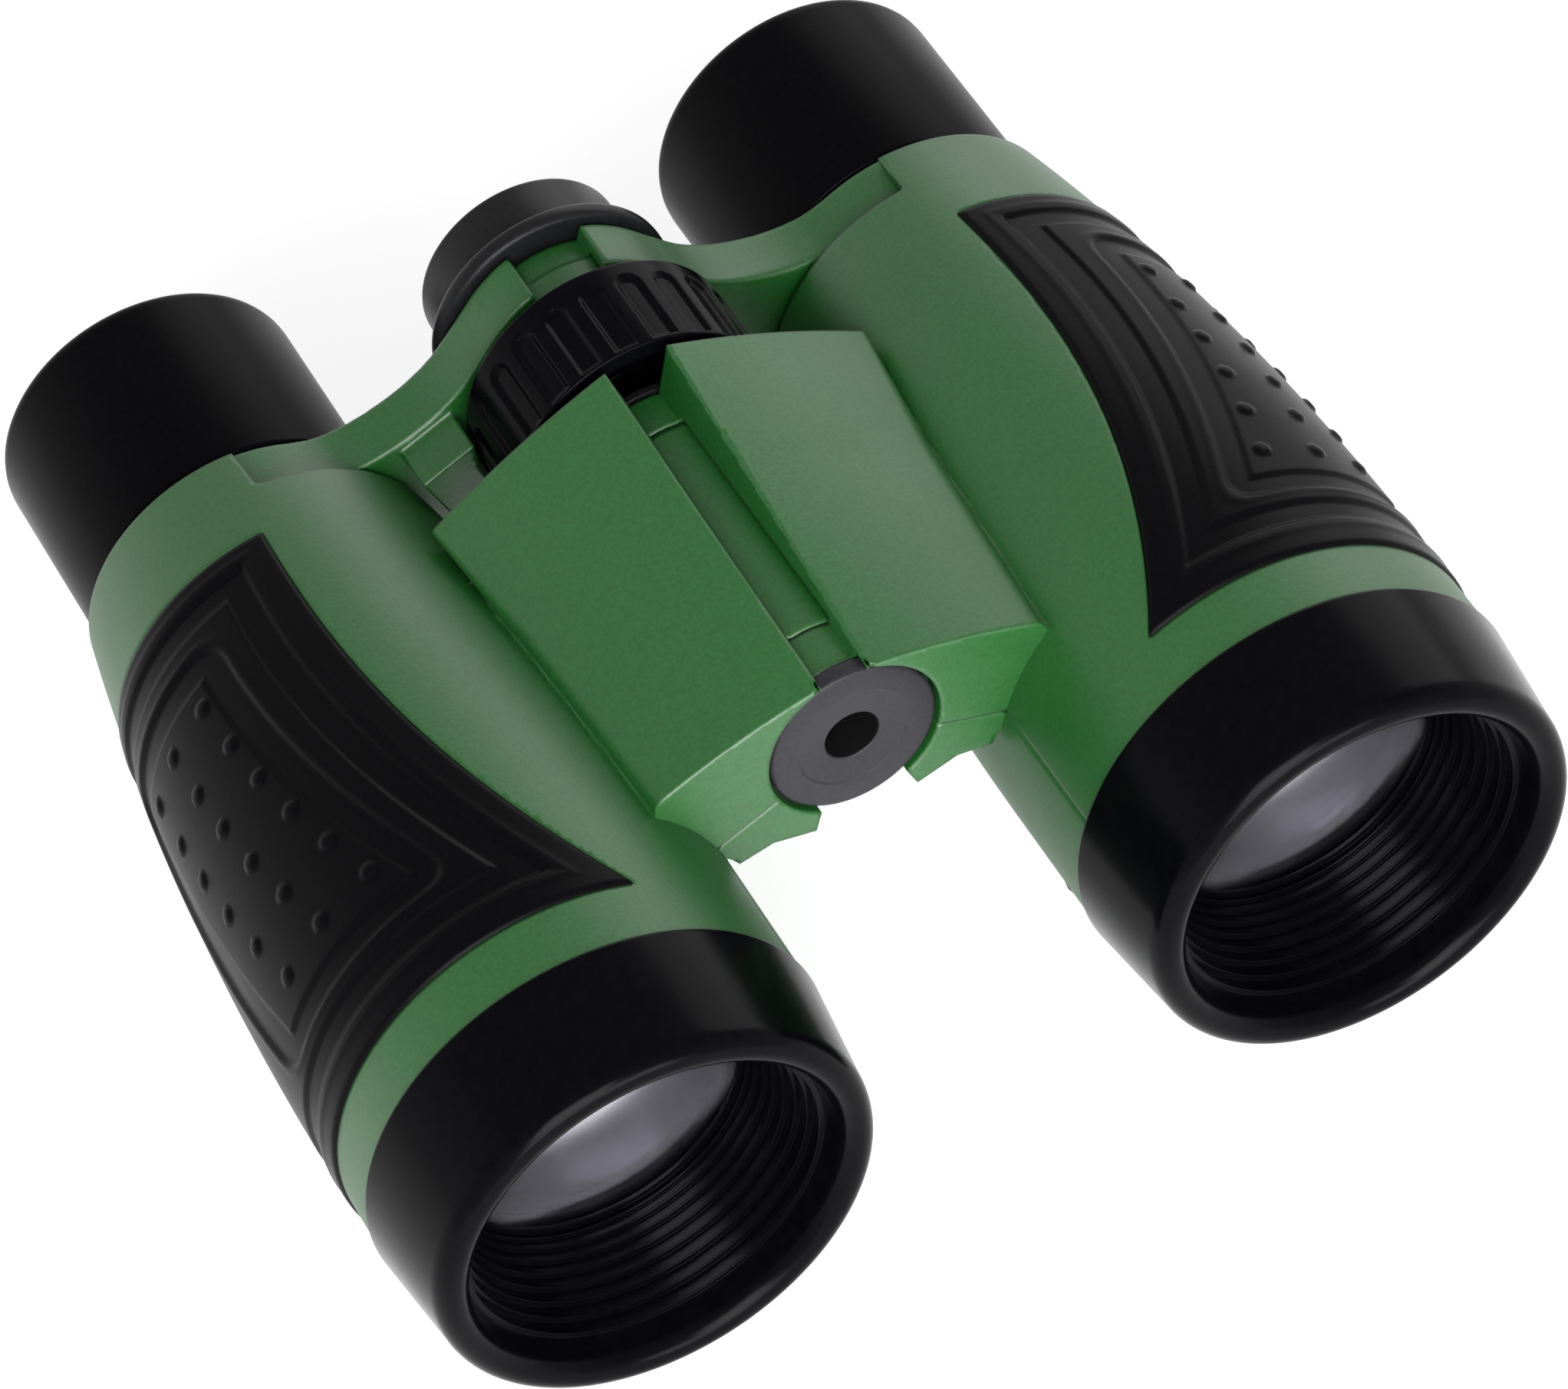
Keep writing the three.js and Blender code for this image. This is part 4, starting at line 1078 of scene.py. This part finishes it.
COMPASS_REAR_Y = COMPASS_FRONT_Y - 8
COMPASS_WALL = 1.5
FLANGE_THICKNESS = 1.9
SOCKET, SOCKET_DEPTH, SOCKET_FLOOR = 6.0, 2.5, 1.1
DIAL_THICKNESS, COVER_THICKNESS, COVER_INSET = 0.4, 1, 0.3


def build_compass():
    """The compass's case, open to the rear, with a socket for the focus screw's end in front."""
    front, rear, cup = COMPASS_FRONT_Y, COMPASS_REAR_Y, COMPASS - COMPASS_WALL
    floor = front - SOCKET_DEPTH - SOCKET_FLOOR
    profile = [
        (0, floor),
        (cup, floor, 0.2),
        (cup, rear, 0.2),
        (COMPASS, rear, 0.6),
        (COMPASS, front - FLANGE_THICKNESS, 0.2),
        (FLANGE, front - FLANGE_THICKNESS, 0.8),
        (FLANGE, front, 0.8),
        (SOCKET, front, 0.2),
        (SOCKET, front - SOCKET_DEPTH, 0.2),
        (0, front - SOCKET_DEPTH),
    ]
    turned_piece("compass_housing", "_turned", rounded(profile, 0.2, 5), "eyepiece_bridge")


def build_compass_face():
    radius = COMPASS - COMPASS_WALL - GAP
    dial_y = COMPASS_FRONT_Y - SOCKET_DEPTH - SOCKET_FLOOR - GAP
    cover_y = COMPASS_REAR_Y + COVER_INSET
    disc(radius, dial_y, dial_y - DIAL_THICKNESS, "compass_dial", 0.05)
    disc(radius, cover_y + COVER_THICKNESS, cover_y, "compass_cover", 0.2)


def disc(radius, front, rear, node, corner):
    profile = [(0, front), (radius, front), (radius, rear), (0, rear)]
    turned_piece(node, "_fine", rounded(profile, corner), "eyepiece_bridge")


for prefix, side, body, own_spans, other_spans in SIDES:
    build_shells(prefix, side, body, own_spans, other_spans)
    build_pad(prefix, side, body)
    build_hood(prefix, side, body)
    build_lens(prefix, side, body)
for prefix, side, body, make in EYEPIECES:
    build_arm(prefix, side, body, make)
    build_eyecup(prefix, side, body)
    build_ocular(prefix, side, body)
build_cap()
build_wheel()
build_washer()
build_compass()
build_compass_face()


# ---------- floor, light and camera ----------
# The floor is low enough for the right half to swing down to its full fold without meeting it.
FLOOR_DROP = 0.0205
FLOOR_REACH = 6.0
FLOOR_GLOW = 0.4
# The sky's strength near the horizon and overhead, and the heights between which it changes.
SKY_LOW, SKY_HIGH = 0.9, 0.4
SKY_FROM, SKY_TO = 0.05, 0.75
MIDDLE = (0, 0, 0.03)
CAMERA_PLACE = (0.125456, 0.375478, 0.475295)
CAMERA_FORWARD = Vector((-0.211383, -0.614491, -0.760078))
CAMERA_UP = Vector((-0.418148, -0.646037, 0.638583))
CAMERA_LENS, CAMERA_SENSOR = 157.1, 36


def build_floor():
    n = Nodes("pale_floor")
    cloud = n.noise(6, 2).outputs["Fac"]
    n.set(n.shader, "Base Color", n.mix(cloud, (0.86, 0.86, 0.86, 1), (0.9, 0.9, 0.9, 1)))
    n.set(n.shader, "Roughness", 0.7)
    n.set(n.shader, "Emission Color", (1, 1, 1, 1))
    n.set(n.shader, "Emission Strength", FLOOR_GLOW)
    mesh = bpy.data.meshes.new("floor")
    corners = [(x * FLOOR_REACH, y * FLOOR_REACH, 0) for x, y in ((-1, -1), (1, -1), (1, 1), (-1, 1))]
    mesh.from_pydata(corners, [], [(0, 1, 2, 3)])
    mesh.materials.append(n.material)
    floor = bpy.data.objects.new("floor", mesh)
    floor.location.z = -FLOOR_DROP
    bpy.context.scene.collection.objects.link(floor)


def build_sky():
    world = bpy.data.worlds.new("studio")
    bpy.context.scene.world = world
    world.use_nodes = True
    sky = world.node_tree
    place = sky.nodes.new("ShaderNodeTexCoord").outputs["Generated"]
    height = sky.nodes.new("ShaderNodeSeparateXYZ")
    sky.links.new(place, height.inputs[0])
    level = sky.nodes.new("ShaderNodeMapRange")
    level.interpolation_type = "SMOOTHSTEP"
    ends = {"From Min": SKY_FROM, "From Max": SKY_TO, "To Min": SKY_LOW, "To Max": SKY_HIGH}
    for key, number in ends.items():
        level.inputs[key].default_value = number
    sky.links.new(height.outputs["Z"], level.inputs["Value"])
    sky.links.new(level.outputs["Result"], sky.nodes["Background"].inputs["Strength"])
    sky.nodes["Background"].inputs["Color"].default_value = (1, 1, 1, 1)


def soft_light(name, place, aim, size, power):
    light = bpy.data.lights.new(name, "AREA")
    light.shape = "RECTANGLE"
    light.size, light.size_y = size
    light.energy = power
    lamp = bpy.data.objects.new(name, light)
    lamp.location = place
    lamp.rotation_euler = (Vector(aim) - Vector(place)).to_track_quat("-Z", "Y").to_euler()
    bpy.context.scene.collection.objects.link(lamp)


def build_camera():
    """A camera with the photograph's place, direction and perspective."""
    camera_data = bpy.data.cameras.new("camera")
    camera_data.lens = CAMERA_LENS
    camera_data.sensor_width = CAMERA_SENSOR
    camera_data.clip_start = 0.01
    camera = bpy.data.objects.new("camera", camera_data)
    camera.location = CAMERA_PLACE
    forward = CAMERA_FORWARD.normalized()
    right = forward.cross(CAMERA_UP.normalized()).normalized()
    rotation = np.array([right, right.cross(forward), -forward]).T
    camera.rotation_euler = Matrix(rotation.tolist()).to_euler()
    bpy.context.scene.collection.objects.link(camera)
    bpy.context.scene.camera = camera


build_floor()
build_sky()
soft_light("back_left", (-0.55, -0.5, 0.34), MIDDLE, (0.7, 0.4), 1.2)
soft_light("front", (0.3, 0.95, 0.75), MIDDLE, (0.7, 0.5), 11)
soft_light("front_low", (0.05, 0.75, 0.24), (0, 0.05, 0), (0.7, 0.3), 5)
build_camera()
bpy.context.scene.view_settings.view_transform = "Standard"
